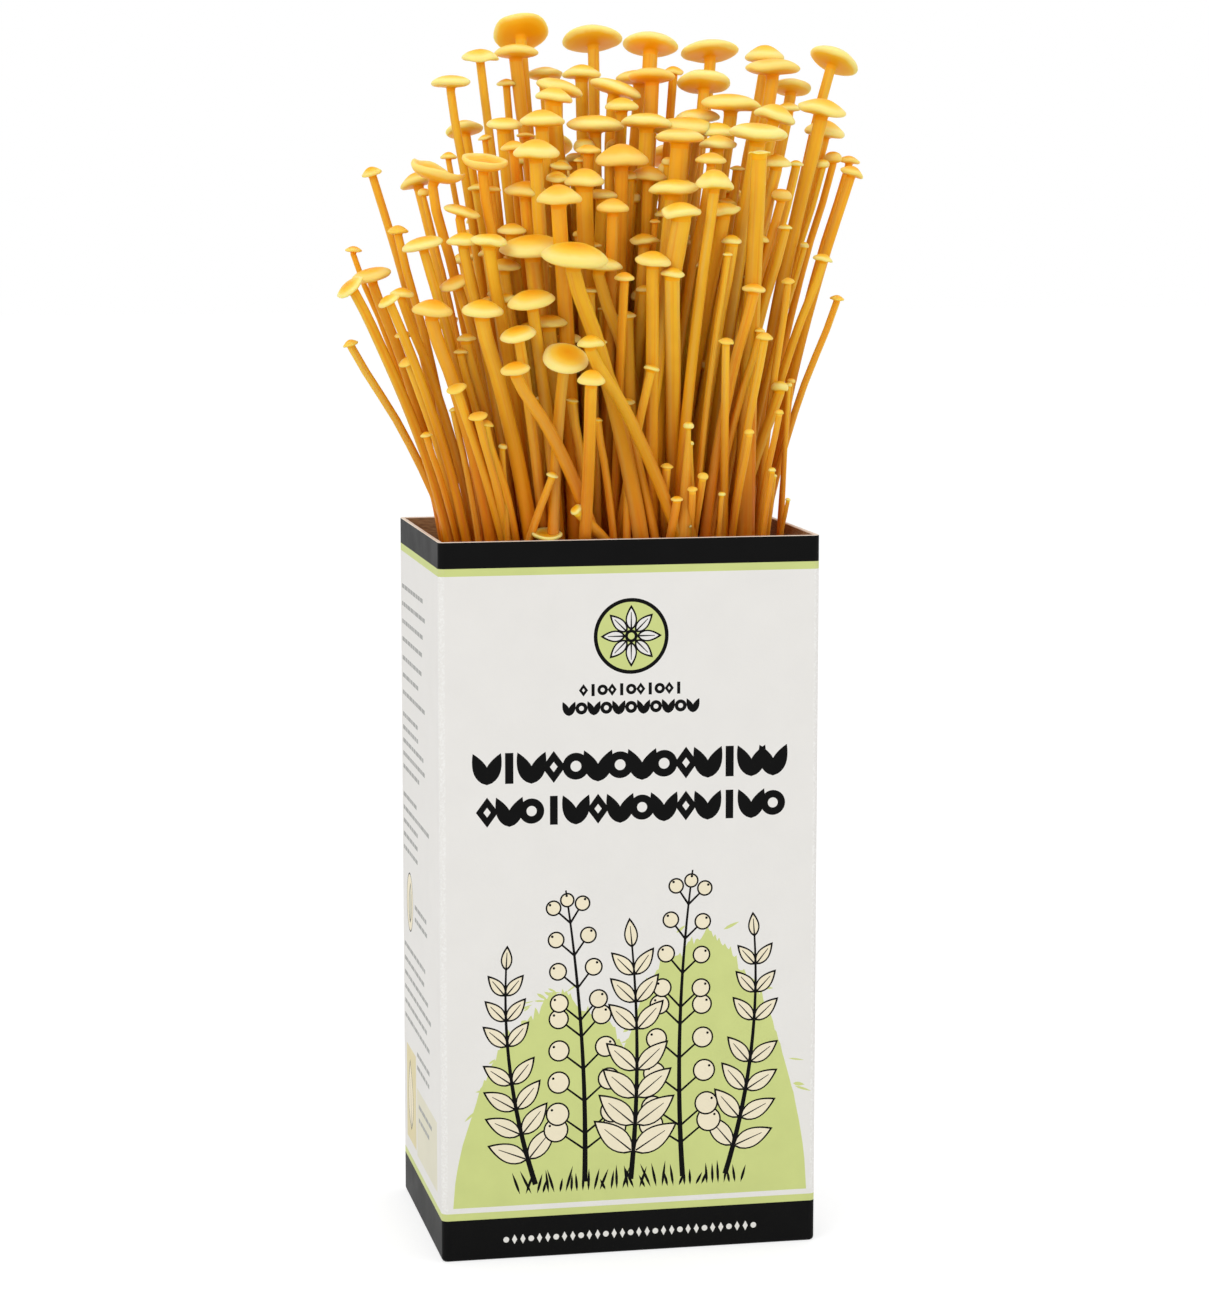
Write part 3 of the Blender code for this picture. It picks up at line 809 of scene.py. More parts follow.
    def front_panel(self) -> None:
        """Draws the front."""
        self.panel = "front"
        for left, right, top, seed in ((-57.5, 12, 84, 3), (-12, 58, 102, 8), (-46, 46, 58, 5)):
            self.hill(left, right, top, seed)
        for x, tip_x, top, bow, pairs, size, berries in (
                (-31, -40, 98, -7, 7, 15, False), (31, 40, 106, 8, 7, 15, False),
                (-15, -21, 119, 4, 9, 13, True), (17, 20, 124, -5, 9, 13, True),
                (0, 0, 104, 4, 7, 18, False)):
            self.sprig((x, 24), (tip_x, top), bow, pairs, size, berries)
        for i in range(40):
            draw = random.Random(i)
            self.put(Ink.BLACK, Motif.leaf((-36 + 1.85 * i, 21), math.radians(draw.uniform(62, 118)),
                                           draw.uniform(4, 9), 0.9, 4))
        self.rosette((0.0, 199.4), 12.0)
        for z, half, size, pattern in (
                (182.6, 16.8, 4.0, "xioxioxioxi"), (176.9, 21.9, 4.6, "vovovovovov"),
                (158.6, 49.6, 10.2, "vivxovovoxvivv"), (144.8, 49.6, 9.6, "xvoivxvovxvivo")):
            self.frieze(z, half, size, pattern)
        for i in range(31):
            centre = (-40.5 + 2.7 * i, 6.4)
            shape = Motif.disc(centre, 0.95, 14) if i % 3 == 0 else Motif.lozenge(centre, 1.7, 3.2)
            self.put(Ink.PAPER, shape)

    def rules(self, left: float, top: float, reach: Point, count: int, pitch: float,
              draw: random.Random) -> None:
        """Adds short grey rules, broken into dashes.

        Args:
            left: where they start.
            top: the height of the first.
            reach: the least and the greatest length.
            count: how many there are.
            pitch: their distance.
            draw: gives them their lengths.
        """
        for i in range(count):
            z = top - pitch * i
            x, end = left, left + draw.uniform(*reach)
            while x < end:
                dash = draw.uniform(2.5, 7.5)
                self.put(Ink.GREY, Motif.bar((x, z), (x + dash, z + 1.45)))
                x += dash + 0.7

    def left_panel(self) -> None:
        """Draws the left side: grey rules in groups, a leaf in an oval and two pale patches."""
        self.panel = "left"
        draw = random.Random(11)
        for top, low, high, count, pitch in (
                (207, 36, 48, 4, 5.9), (183, 30, 44, 3, 5.8), (164, 28, 46, 5, 4.4), (137, 24, 56, 5, 4.5),
                (86, 44, 56, 6, 4.9)):
            self.rules(-38, top, (low, high), count, pitch, draw)
        turns = [step / 16 * math.pi for step in range(32)]
        oval = [(-25 + 7 * math.cos(turn), 103 + 10 * math.sin(turn)) for turn in turns]
        self.outlined(oval, [(-25 + (x + 25) * 0.94, 103 + (z - 103) * 0.95) for x, z in oval], Ink.CREAM)
        self.leaf((-25, 96), math.radians(84), 14, Ink.BEIGE)
        self.rules(-14, 103, (20, 28), 2, 4.2, draw)
        self.put(Ink.SAND, Motif.bar((-35, 21), (-14, 53)))
        self.leaf((-25, 25), math.radians(96), 24)
        self.rules(-11, 54, (18, 26), 2, 4.4, draw)
        self.put(Ink.BEIGE, Motif.bar((-12, 20), (32, 43)))
        self.rules(-8, 37, (20, 28), 2, 4.6, draw)

    def right_panel(self) -> None:
        """Draws the right side: a rosette and a frieze over three sprigs, and grey rules."""
        self.panel = "right"
        draw = random.Random(23)
        self.rosette((0.0, 190.0), 14.0)
        self.frieze(166.0, 32.0, 6.8, "vovxovxvov")
        for x, tip_x, top, bow, berries in (
                (-12, -20, 138, -4, True), (12, 20, 138, 4, True), (0, 0, 146, 3, False)):
            self.sprig((x, 80), (tip_x, top), bow, 6, 13, berries)
        for top, count in ((66, 4), (40, 3)):
            self.rules(-35, top, (50, 66), count, 5.2, draw)

    def back_panel(self) -> None:
        """Draws the back: a frieze over four growing steps, each a leaf in a ring with grey rules."""
        self.panel = "back"
        draw = random.Random(31)
        self.frieze(201.0, 49.6, 9.0, "xvoivxovxvivo")
        for i in range(4):
            middle = (-40.0, 170.0 - 38.0 * i)
            self.ring(middle, (13.0, 12.3), (40, 40), Ink.CREAM)
            self.leaf((middle[0], middle[1] - 9), math.radians(74 + 11 * i), 19, Ink.BEIGE)
            self.rules(-20, middle[1] + 6, (52, 72), 3, 6.0, draw)


@dataclass
class Carton:
    """The printed carton: one board, folded round and glued, closed by a flat base."""

    low: Vector
    high: Vector
    effects: Effects
    board: float = 0.0015
    plies: int = 2
    fold: float = 0.0020
    base_fold: float = 0.0012
    cut_round: float = 0.0003
    fold_steps: int = 8
    round_steps: int = 4
    top_band: float = 0.0083
    top_stripe: float = 0.0024
    base_band: float = 0.0135
    base_stripe: float = 0.0023
    seam_width: float = 0.0006
    seam_depth: float = 0.0006
    lap_width: float = 0.014
    lap_gap: float = 0.00005
    slab_round: float = 0.0002

    def __post_init__(self) -> None:
        """Works out the outline's and the board section's break points from the CAD box."""
        self.top = self.high.z
        half_x = (self.high.x - self.low.x) / 2 - self.fold
        half_y = (self.high.y - self.low.y) / 2 - self.fold
        signs = ((1, 1), (-1, 1), (-1, -1), (1, -1), (1, 1))
        corners = [(x * half_x, y * half_y) for x, y in signs]
        arc = self.fold * math.pi / 2
        stations = [(0.0, *corners[0], math.pi / 2)]
        self.middles = {}
        for i, name in enumerate(("back", "left", "front", "right")):
            u, x, y, angle = stations[-1]
            run = math.dist(corners[i], corners[i + 1])
            self.middles[name] = u + run / 2
            stations.append((u + run, *corners[i + 1], angle))
            for step in range(1, self.fold_steps + 1):
                share = step / self.fold_steps
                stations.append((u + run + arc * share, *corners[i + 1], angle + share * math.pi / 2))
        self.stations = np.array(stations)
        self.around = self.stations[-1, 0]

        turns = [math.pi / 2 * step / self.round_steps for step in range(self.round_steps + 1)]
        base, cut = self.base_fold, self.cut_round
        section = [(base * (1 - math.sin(a)), base * (1 - math.cos(a))) for a in turns]
        section += [(cut * (1 - math.cos(a)), self.top - cut * (1 - math.sin(a))) for a in turns]
        section += [(self.board - cut * (1 - math.sin(a)), self.top - cut * (1 - math.cos(a))) for a in turns]
        section.append((self.board, self.board * self.plies))
        self.section = np.array(section)
        runs = np.linalg.norm(np.diff(self.section, axis=0), axis=1)
        self.levels = np.concatenate([[0.0], np.cumsum(runs)])
        self.wall_low = self.levels[self.round_steps]
        self.wall_high = self.levels[self.round_steps + 1]
        self.rim_out = self.levels[2 * self.round_steps + 1]
        self.rim_in = self.levels[3 * self.round_steps + 2]
        edge = self.seam_width / 8
        self.seam_lines = (edge, self.seam_width, self.seam_width + edge)

    def climb(self, z: float) -> float:
        """Returns the place along the board's section of a height on the outer wall."""
        return self.wall_low + z - self.base_fold

    def place(self, u: float, s: float) -> Vector:
        """Folds a point of the blank into place.

        Args:
            u: how far round the carton, from the glue seam at the back.
            s: how far along the board's section, from the base up, over the rim and down inside.

        Returns:
            The point in space.
        """
        inset = float(np.interp(s, self.levels, self.section[:, 0]))
        z = float(np.interp(s, self.levels, self.section[:, 1]))
        if self.wall_low < s < self.wall_high:
            inset += float(np.interp(u, (0, *self.seam_lines), (0, self.seam_depth, self.seam_depth, 0)))
        x, y, angle = (float(np.interp(u, self.stations[:, 0], self.stations[:, k])) for k in (1, 2, 3))
        return Vector((*ahead((x, y), angle, self.fold - inset), z))

    def crease(self, u: float, s: float) -> float:
        """Tells folds and cut edges from the flat.

        Args:
            u: how far round the carton.
            s: how far along the board's section.

        Returns:
            1 on a fold or a cut edge, and 0 on the flat.
        """
        angle = float(np.interp(u, self.stations[:, 0], self.stations[:, 3])) / (math.pi / 2)
        on_fold = abs(angle - round(angle)) > 0.02
        on_round = s < self.wall_low - WELD or self.wall_high + WELD < s < self.rim_in - WELD
        return 1.0 if on_fold or on_round else 0.0

    def regions(self) -> list[tuple[Ink, Outline]]:
        """Lays the print out on the blank.

        Returns:
            (ink, outline) for each region, in the blank's coordinates; later ones lie on top.
        """
        wide = self.around
        regions = [(Ink.PAPER, Motif.bar((0, 0), (wide, self.levels[-1])))]

        def band(ink: Ink, low: float, high: float) -> None:
            """Adds a band all round."""
            regions.append((ink, Motif.bar((0, low), (wide, high))))

        band(Ink.BLACK, 0.0, self.climb(self.base_band))
        band(Ink.LIME, self.climb(self.base_band), self.climb(self.base_band + self.base_stripe))
        art = Artwork()
        for draw_panel in (art.front_panel, art.left_panel, art.right_panel, art.back_panel):
            draw_panel()
        for panel, ink, outline in art.shapes:
            middle = self.middles[panel]
            regions.append((ink, [(middle + x * MM, self.climb(z * MM)) for x, z in outline]))
        black_low = self.top - self.top_band
        band(Ink.LIME, self.climb(black_low - self.top_stripe), self.climb(black_low))
        band(Ink.BLACK, self.climb(black_low), self.rim_out - self.cut_round)
        band(Ink.EDGE, self.rim_out - self.cut_round, self.rim_in)
        band(Ink.KRAFT, self.rim_in, self.levels[-1])
        return regions

    def fill_blank(self, bm: Draft) -> None:
        """Cuts the blank into printed faces and folds them up.

        Args:
            bm: the mesh to fill.
        """
        points, edges, faces, inks = [], [], [], []
        for ink, outline in self.regions():
            first = len(points)
            points += [Vector((u / MM, s / MM)) for u, s in outline]
            faces.append(list(range(first, first + len(outline))))
            inks.append(ink)
        for u in (*self.stations[1:-1, 0], *self.seam_lines):
            edges.append((len(points), len(points) + 1))
            points += [Vector((u / MM, 0.0)), Vector((u / MM, self.levels[-1] / MM))]
        for s in self.levels[1:-1]:
            edges.append((len(points), len(points) + 1))
            points += [Vector((0.0, s / MM)), Vector((self.around / MM, s / MM))]
        spots, _, triangles, _, _, owners = delaunay_2d_cdt(points, edges, faces, 0, 1e-4)
        crease = bm.verts.layers.float.new("crease")
        verts = []
        for spot in spots:
            u, s = spot.x * MM, spot.y * MM
            vert = bm.verts.new(self.place(u, s))
            vert[crease] = self.crease(u, s)
            verts.append(vert)
        for triangle, owner in zip(triangles, owners):
            if owner:
                bm.faces.new([verts[i] for i in triangle]).material_index = inks[max(owner)].slot
        bmesh.ops.remove_doubles(bm, verts=bm.verts[:], dist=WELD)

    def fill_base(self, bm: Draft) -> None:
        """Closes the carton's base, outside and inside.

        Args:
            bm: the mesh to fill.
        """
        start, *others = self.stations[:-1, 0]
        for s, ink, flip in ((0.0, Ink.PAPER, True), (self.levels[-1], Ink.KRAFT, False)):
            ring = [bm.verts.new(self.place(u, s)) for u in (start, *self.seam_lines, *others)]
            bm.faces.new(ring[::-1] if flip else ring).material_index = ink.slot
        bmesh.ops.remove_doubles(bm, verts=bm.verts[:], dist=WELD)

    def add_slab(self, bm: Draft, low: Vector, high: Vector, ink: Ink, top: Ink) -> None:
        """Adds a thin board with square edges.

        Args:
            bm: the mesh to fill.
            low: its lowest corner.
            high: its highest corner.
            ink: what its faces show.
            top: what its top edge shows.
        """
        made = bmesh.ops.create_cube(bm, size=1.0)["verts"]
        for vert in made:
            vert.co = Vector([low[k] if vert.co[k] < 0 else high[k] for k in range(3)])
        faces = {face for vert in made for face in vert.link_faces}
        for face in faces:
            face.material_index = (top if face.normal.z > 0.5 else ink).slot
        edges = {edge for face in faces for edge in face.edges}
        bmesh.ops.bevel(bm, geom=list(edges), offset=self.slab_round, segments=2, affect="EDGES", profile=0.5)

    def build(self) -> None:
        """Builds the carton's piece."""
        bm = bmesh.new()
        self.fill_blank(bm)
        self.fill_base(bm)
        inner_x = self.high.x - self.board
        inner_y = self.high.y - self.board
        gap = self.lap_gap
        low = Vector((inner_x - self.lap_width, inner_y - self.board, self.board * self.plies + gap))
        high = Vector((inner_x - gap, inner_y - gap, self.top - self.cut_round))
        self.add_slab(bm, low, high, Ink.KRAFT, Ink.EDGE)
        mesh = mesh_of(bm, "carton_board")
        for ink in Ink:
            mesh.materials.append(ink.value.material(self.effects))
        mesh.shade_smooth()
        mesh.set_sharp_from_angle(angle=math.radians(40))
        piece = placed("carton_draft", mesh)
        smooth = piece.modifiers.new("even_normals", "WEIGHTED_NORMAL")
        smooth.keep_sharp = True
        final = baked_mesh(piece, "printed_carton")
        bpy.data.objects.remove(piece)
        add_piece("printed_carton", final, ("carton",))


def baked_mesh(thing: bpy.types.Object, name: str) -> bpy.types.Mesh:
    """Turns an object and its modifiers into a plain mesh.

    Args:
        thing: the object.
        name: the new mesh's name.

    Returns:
        The mesh.
    """
    graph = bpy.context.evaluated_depsgraph_get()
    mesh = bpy.data.meshes.new_from_object(thing.evaluated_get(graph), preserve_all_data_layers=True,
                                           depsgraph=graph)
    mesh.name = name
    return mesh


def footprint(node: str) -> tuple[float, float, float]:
    """Returns half the width, half the depth and the middle in depth of a CAD node."""
    low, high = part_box(node)
    return (high.x - low.x) / 2, (high.y - low.y) / 2, (low.y + high.y) / 2


def rounded_ring(half_x: float, half_y: float, radius: float, steps: int, middle_y: float) -> Outline:
    """Returns a rectangle with round corners and points along its sides, anticlockwise.

    Args:
        half_x: half its width.
        half_y: half its depth.
        radius: the corners' radius.
        steps: points along each corner and each side.
        middle_y: the place of its middle across the depth.

    Returns:
        The outline.
    """
    def on_arc(corner: int, turn: float) -> Vector:
        """Finds a point on a corner's arc.

        Args:
            corner: which corner, counted from the one at +X and +Y.
            turn: the direction from the arc's centre.

        Returns:
            The point.
        """
        side_x, side_y = ((1, 1), (-1, 1), (-1, -1), (1, -1))[corner % 4]
        centre = Vector((side_x * (half_x - radius), side_y * (half_y - radius)))
        return centre + radius * Vector((math.cos(turn), math.sin(turn)))

    points = []
    for corner in range(4):
        turn = corner * math.pi / 2
        points += [on_arc(corner, turn + step * math.pi / 2 / steps) for step in range(steps)]
        last = on_arc(corner, turn + math.pi / 2)
        goal = on_arc(corner + 1, turn + math.pi / 2)
        points += [last.lerp(goal, step / (2 * steps)) for step in range(2 * steps)]
    return [(p.x, p.y + middle_y) for p in points]


@dataclass
class GrowBlock:
    """The block of growing medium and the clear bag that holds it."""

    effects: Effects
    film: float = 0.0004
    corner: float = 0.0075
    corner_steps: int = 6
    crumb: float = 0.0007
    crumb_rings: int = 14
    collar: float = 0.002
    lip: float = 0.0003
    pleat: float = 0.0022
    low_pleat: float = 0.0008

    def _loft(self, bm: Draft, rings: list[list[Vector]]) -> list[list[bmesh.types.BMVert]]:
        """Joins rings of equal length with quads.

        Args:
            bm: the mesh to fill.
            rings: the rings' points, from the base up.

        Returns:
            The rings' vertices.
        """
        made = [[bm.verts.new(point) for point in ring] for ring in rings]
        count = len(made[0])
        for low, high in zip(made, made[1:]):
            for i in range(count):
                j = (i + 1) % count
                bm.faces.new((low[i], low[j], high[j], high[i]))
        return made

    def build_block(self) -> None:
        """Builds the block, with a crumbly top."""
        low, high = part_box("substrate_block")
        half_x, half_y, middle_y = footprint("substrate_block")
        draw = random.Random(4)
        rings = []
        shoulder = ((0.004, 0.0), (0.0015, 0.0006), (0.0005, 0.002))
        for z, inset in ((low.z, 0.0), *((high.z - drop, inset) for drop, inset in shoulder)):
            outline = rounded_ring(half_x - inset, half_y - inset, self.corner - inset, self.corner_steps,
                                   middle_y)
            rings.append([Vector((x, y, z)) for x, y in outline])
        edge = rings[-1]
        centre = Vector((0.0, middle_y, high.z))
        for step in range(1, self.crumb_rings):
            spots = [centre.lerp(point, 1 - step / self.crumb_rings) for point in edge]
            rings.append([Vector((*spot.xy, high.z - draw.uniform(0, self.crumb))) for spot in spots])
        bm = bmesh.new()
        made = self._loft(bm, rings)
        bm.faces.new(made[0][::-1])
        top = bm.verts.new(centre)
        for i, vert in enumerate(made[-1]):
            bm.faces.new((vert, made[-1][(i + 1) % len(made[-1])], top))
        self._finish(bm, "sawdust_block", "substrate_block", MediumFinish())

    def build_bag(self) -> None:
        """Builds the bag: close round the block, with a crinkled collar over it."""
        low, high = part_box("grow_bag")
        block_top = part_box("substrate_block")[1].z
        half_x, half_y, middle_y = footprint("grow_bag")
        draw = random.Random(9)

        def ring(z: float, inset: float, crinkle: float) -> list[Vector]:
            """Draws one ring of the film.

            Args:
                z: its height.
                inset: how far it lies inside the bag's outline.
                crinkle: how deep its uneven pleats are.

            Returns:
                Its points.
            """
            outline = rounded_ring(half_x, half_y, self.corner + self.film, self.corner_steps, 0.0)
            points = []
            for i, (x, y) in enumerate(outline):
                share = 1 - (inset + crinkle * pleats[i]) / half_y
                points.append(Vector((x * share, y * share + middle_y, z)))
            return points

        count = len(rounded_ring(half_x, half_y, self.corner, self.corner_steps, 0.0))
        pleats = [0.5 + 0.5 * math.sin(i * 1.9 + draw.uniform(-0.6, 0.6)) for i in range(count)]
        collar, lip = block_top + self.collar, high.z - self.lip
        outside = [ring(low.z, 0.0, 0.0), ring(block_top, 0.0, 0.0), ring(collar, 0.0, self.low_pleat),
                   ring(lip, self.film / 2, self.pleat)]
        inside = [ring(high.z, self.film / 2, self.pleat), ring(lip, self.film, self.pleat),
                  ring(collar, self.film, self.low_pleat), ring(block_top, self.film, 0.0),
                  ring(low.z + self.film, self.film, 0.0)]
        bm = bmesh.new()
        made = self._loft(bm, outside + inside)
        bm.faces.new(made[0][::-1])
        bm.faces.new(made[-1])
        self._finish(bm, "film_bag", "grow_bag", FilmFinish())

    def _finish(self, bm: Draft, name: str, node: str, finish: Finish) -> None:
        """Turns a mesh in progress into a piece.

        Args:
            bm: the mesh in progress.
            name: the piece's name.
            node: the CAD node that it replaces.
            finish: its finish.
        """
        mesh = mesh_of(bm, name)
        mesh.materials.append(finish.material(self.effects))
        mesh.shade_smooth()
        mesh.set_sharp_from_angle(angle=math.radians(50))
        add_piece(name, mesh, (node,))


@dataclass(frozen=True)
class CapShape:
    """A cap's form in pairs: (share of its radius, height over the margin as a share of its width).

    The first five say what it fills while the clump settles, and skin is its full outline from
    under the margin to the crown.
    """

    neck: float
    under: Point
    margin: Point
    shoulder: Point
    crown: float
    skin: tuple[tuple[float, float], ...]


class Form(Enum):
    """The cap forms of the clump, from young bud to flat and upturned."""

    FLAT = CapShape(-0.20, (0.62, -0.08), (1.0, 0.0), (0.70, 0.14), 0.20,
                    ((0.44, -0.088), (0.74, -0.070), (0.93, -0.034), (1.0, 0.012), (0.965, 0.054),
                     (0.82, 0.112), (0.54, 0.172), (0.02, 0.208)))
    DOME = CapShape(-0.20, (0.62, -0.09), (1.0, 0.0), (0.74, 0.20), 0.30,
                    ((0.44, -0.078), (0.74, -0.068), (0.93, -0.040), (1.0, 0.014), (0.965, 0.066),
                     (0.82, 0.126), (0.61, 0.198), (0.34, 0.268), (0.02, 0.30)))
    BELL = CapShape(-0.22, (0.62, -0.10), (1.0, 0.0), (0.76, 0.29), 0.42,
                    ((0.44, -0.076), (0.74, -0.066), (0.94, -0.038), (1.0, 0.016), (0.965, 0.074),
                     (0.84, 0.150), (0.66, 0.260), (0.36, 0.378), (0.02, 0.42)))
    CUP = CapShape(-0.24, (0.58, -0.10), (1.0, 0.06), (0.72, 0.10), 0.03,
                   ((0.40, -0.130), (0.66, -0.092), (0.90, -0.014), (1.0, 0.065), (0.97, 0.112),
                    (0.87, 0.100), (0.60, 0.048), (0.30, 0.028), (0.02, 0.036)))
    BUD = CapShape(-0.34, (0.84, -0.17), (1.0, 0.0), (0.78, 0.27), 0.40,
                   ((0.64, -0.225), (0.87, -0.15), (0.985, -0.05), (1.0, 0.03), (0.95, 0.12),
                    (0.78, 0.245), (0.44, 0.35), (0.02, 0.385)))


FLAT, DOME, BELL, CUP, BUD = Form


@dataclass(frozen=True)
class Plant:
    """One mushroom as laid out: its cap's middle (across, back, over the rim), cap and stem width
    in millimetres, form, roll to the right and nod to the front in degrees, where its stem
    crosses the rim if it leans its own way, and how much wider its foot is than its neck."""

    x: float
    y: float
    rise: float
    cap: float
    stem: float
    form: Form
    roll: float
    nod: float
    rim_x: float | None = None
    cone: float = 0.0

    def axis(self) -> Vector:
        """Works out where the crown points.

        Returns:
            A unit vector.
        """
        across = math.sin(math.radians(self.roll))
        forward = math.sin(math.radians(self.nod))
        return Vector((across, -forward, math.sqrt(max(0.0, 1 - across ** 2 - forward ** 2))))

    def neck_drop(self) -> float:
        """Returns how far the stem's top lies under the margin."""
        return -self.form.value.neck * self.cap * MM

    def stem_radius(self, share: float) -> float:
        """Returns the stem's radius at a share of its height: it flares over its lower half."""
        return self.stem * MM / 2 * (1 + 0.15 * max(0.0, 1 - 2 * share))


def laid_out(*rows: tuple) -> list[Plant]:
    """Returns the plants of some rows, each with the fields of Plant in order."""
    return [Plant(*row) for row in rows]


BACK_ROW = laid_out(
    (-19, 46, 159, 18.5, 4, FLAT, 4, -36), (-36, 26, 150.5, 12, 3, FLAT, -6, 2),
    (-48, 10, 141.5, 13, 3, FLAT, 0, 2), (6, 44, 157, 20, 4, FLAT, 0, -20),
    (-2, 28, 145, 13, 4.5, DOME, 0, -4), (22, 38, 155, 18.5, 5.2, FLAT, 6, -18),
    (43, 38, 153, 19, 4, FLAT, 0, -18), (60, 20, 147, 18, 4.4, FLAT, 0, -4),
    (83, 28, 150, 17, 3.6, FLAT, 26, -14), (19, 17, 144, 15, 4.8, FLAT, 0, -8),
    (37, 20, 142, 18, 4, FLAT, 4, -16), (70, 34, 141, 13.5, 4, FLAT, 8, -14),
    (-39, 40, 127, 12.5, 3.8, DOME, -8, -16), (-56, 30, 110, 11.5, 3.6, DOME, -14, -12),
    (-8, 54, 122, 16, 4.2, DOME, 0, -24), (32, 53, 118, 15, 4, DOME, 4, -24),
    (60, 46, 108, 14, 3.8, DOME, 14, -20), (12, 52, 92, 13, 3.6, DOME, 0, -26))
MIDDLE_ROW = laid_out(
    (-12, 15, 140, 15.5, 4.5, FLAT, 16, 2), (-22, -9, 129, 14.5, 4.4, DOME, 0, 2),
    (-2, 0, 128, 18.5, 4.2, FLAT, 0, 2), (42, 2, 135, 19, 4.5, FLAT, 2, 2),
    (70, -6, 133, 15.5, 4.5, DOME, 6, 4), (53, -11, 131, 14, 4.4, DOME, 15, 2),
    (11, -8, 129, 16, 5, FLAT, 0, 2), (-57, -18, 113, 17.5, 3.4, CUP, 17, 4),
    (-43, -24, 116, 14.5, 3.4, CUP, 6, 12), (-12, -28, 110, 12, 5.4, BELL, 0, 4),
    (19, -25, 124, 15.5, 6.2, FLAT, 0, 6), (44, -26, 125, 18.5, 5.4, FLAT, 4, 6),
    (1, -22, 117, 16.5, 4.4, DOME, 0, 4), (-76, -8, 113, 6.6, 2.8, DOME, -18, 6))
FRONT_ROW = laid_out(
    (16, -38, 108, 15.5, 6, FLAT, 0, 6), (24, -43, 109.5, 12, 3.6, BELL, 2, 6),
    (-29, -20, 107, 13.5, 4.4, DOME, 0, 4), (79, -10, 113, 8, 3.2, DOME, 16, 4),
    (-78, -18, 81, 13, 3.4, FLAT, -12, 4), (-85, -26, 78, 10, 3.4, FLAT, -38, 10),
    (-63, -28, 91, 13, 3.2, FLAT, -14, 4), (-29.5, -33, 90, 20.5, 5.4, FLAT, -4, 8),
    (-20, -53, 87.5, 20.5, 5, FLAT, 3, 14, 6), (6, -46, 86, 11, 4.2, DOME, 0, 8, 9),
    (67, -20, 86, 6.5, 2.9, DOME, 4, 6, 44), (40, -38, 77, 7.5, 3.6, DOME, 3, 8),
    (-62, -41, 71, 13, 4.6, DOME, 4, 10), (-45, -46, 71, 13, 5, DOME, 3, 10),
    (-31, -50, 74, 14.5, 3.8, FLAT, -10, 12), (-23.4, -50, 56.6, 14.5, 3.8, FLAT, 4, 36, -25),
    (-18, -57, 50.5, 8.7, 4, BELL, 2, 10, -18.5), (-38.5, -54, 53.5, 9.2, 4, DOME, -8, 12, -13),
    (-18.5, -54, 61.5, 8.5, 4, DOME, 0, 10, 19))
YOUNG_TUFTS = [
    laid_out((23, -42, 19, 3.4, 2.4, BUD, 4, 8, 25), (19, -43, 15, 3.2, 2.3, BUD, -4, 8, 21),
             (12, -41, 22, 4, 2.8, DOME, 4, 8, 13)),
    laid_out((-55.5, -46, 47.5, 6.4, 3, FLAT, -18, 16, -45), (-49, -47, 39, 6.2, 2.9, FLAT, -12, 14, -38),
             (-46, -45, 36.5, 4.4, 2.8, DOME, 14, 8, -32)),
    laid_out((30, -43, 61, 5, 2.6, DOME, 0, 8, 30), (43, -40, 62, 5.5, 2.8, DOME, 4, 8, 38),
             (38, -41, 32.5, 3.2, 2.3, BUD, 0, 6, 36)),
    laid_out((-84, -14, 60, 4.8, 2.6, DOME, -20, 4, -53), (-68, -30, 55, 6.2, 2.8, DOME, -20, 8, -53),
             (-69, -16, 95, 6.5, 2.8, DOME, -4, 4, -48)),
    laid_out((74, -12, 73, 4.8, 2.4, DOME, 8, 4, 50), (54, -26, 79, 4.4, 2.5, DOME, 0, 4, 48),
             (50, -32, 38, 3, 2.2, BUD, 4, 6, 45)),
]

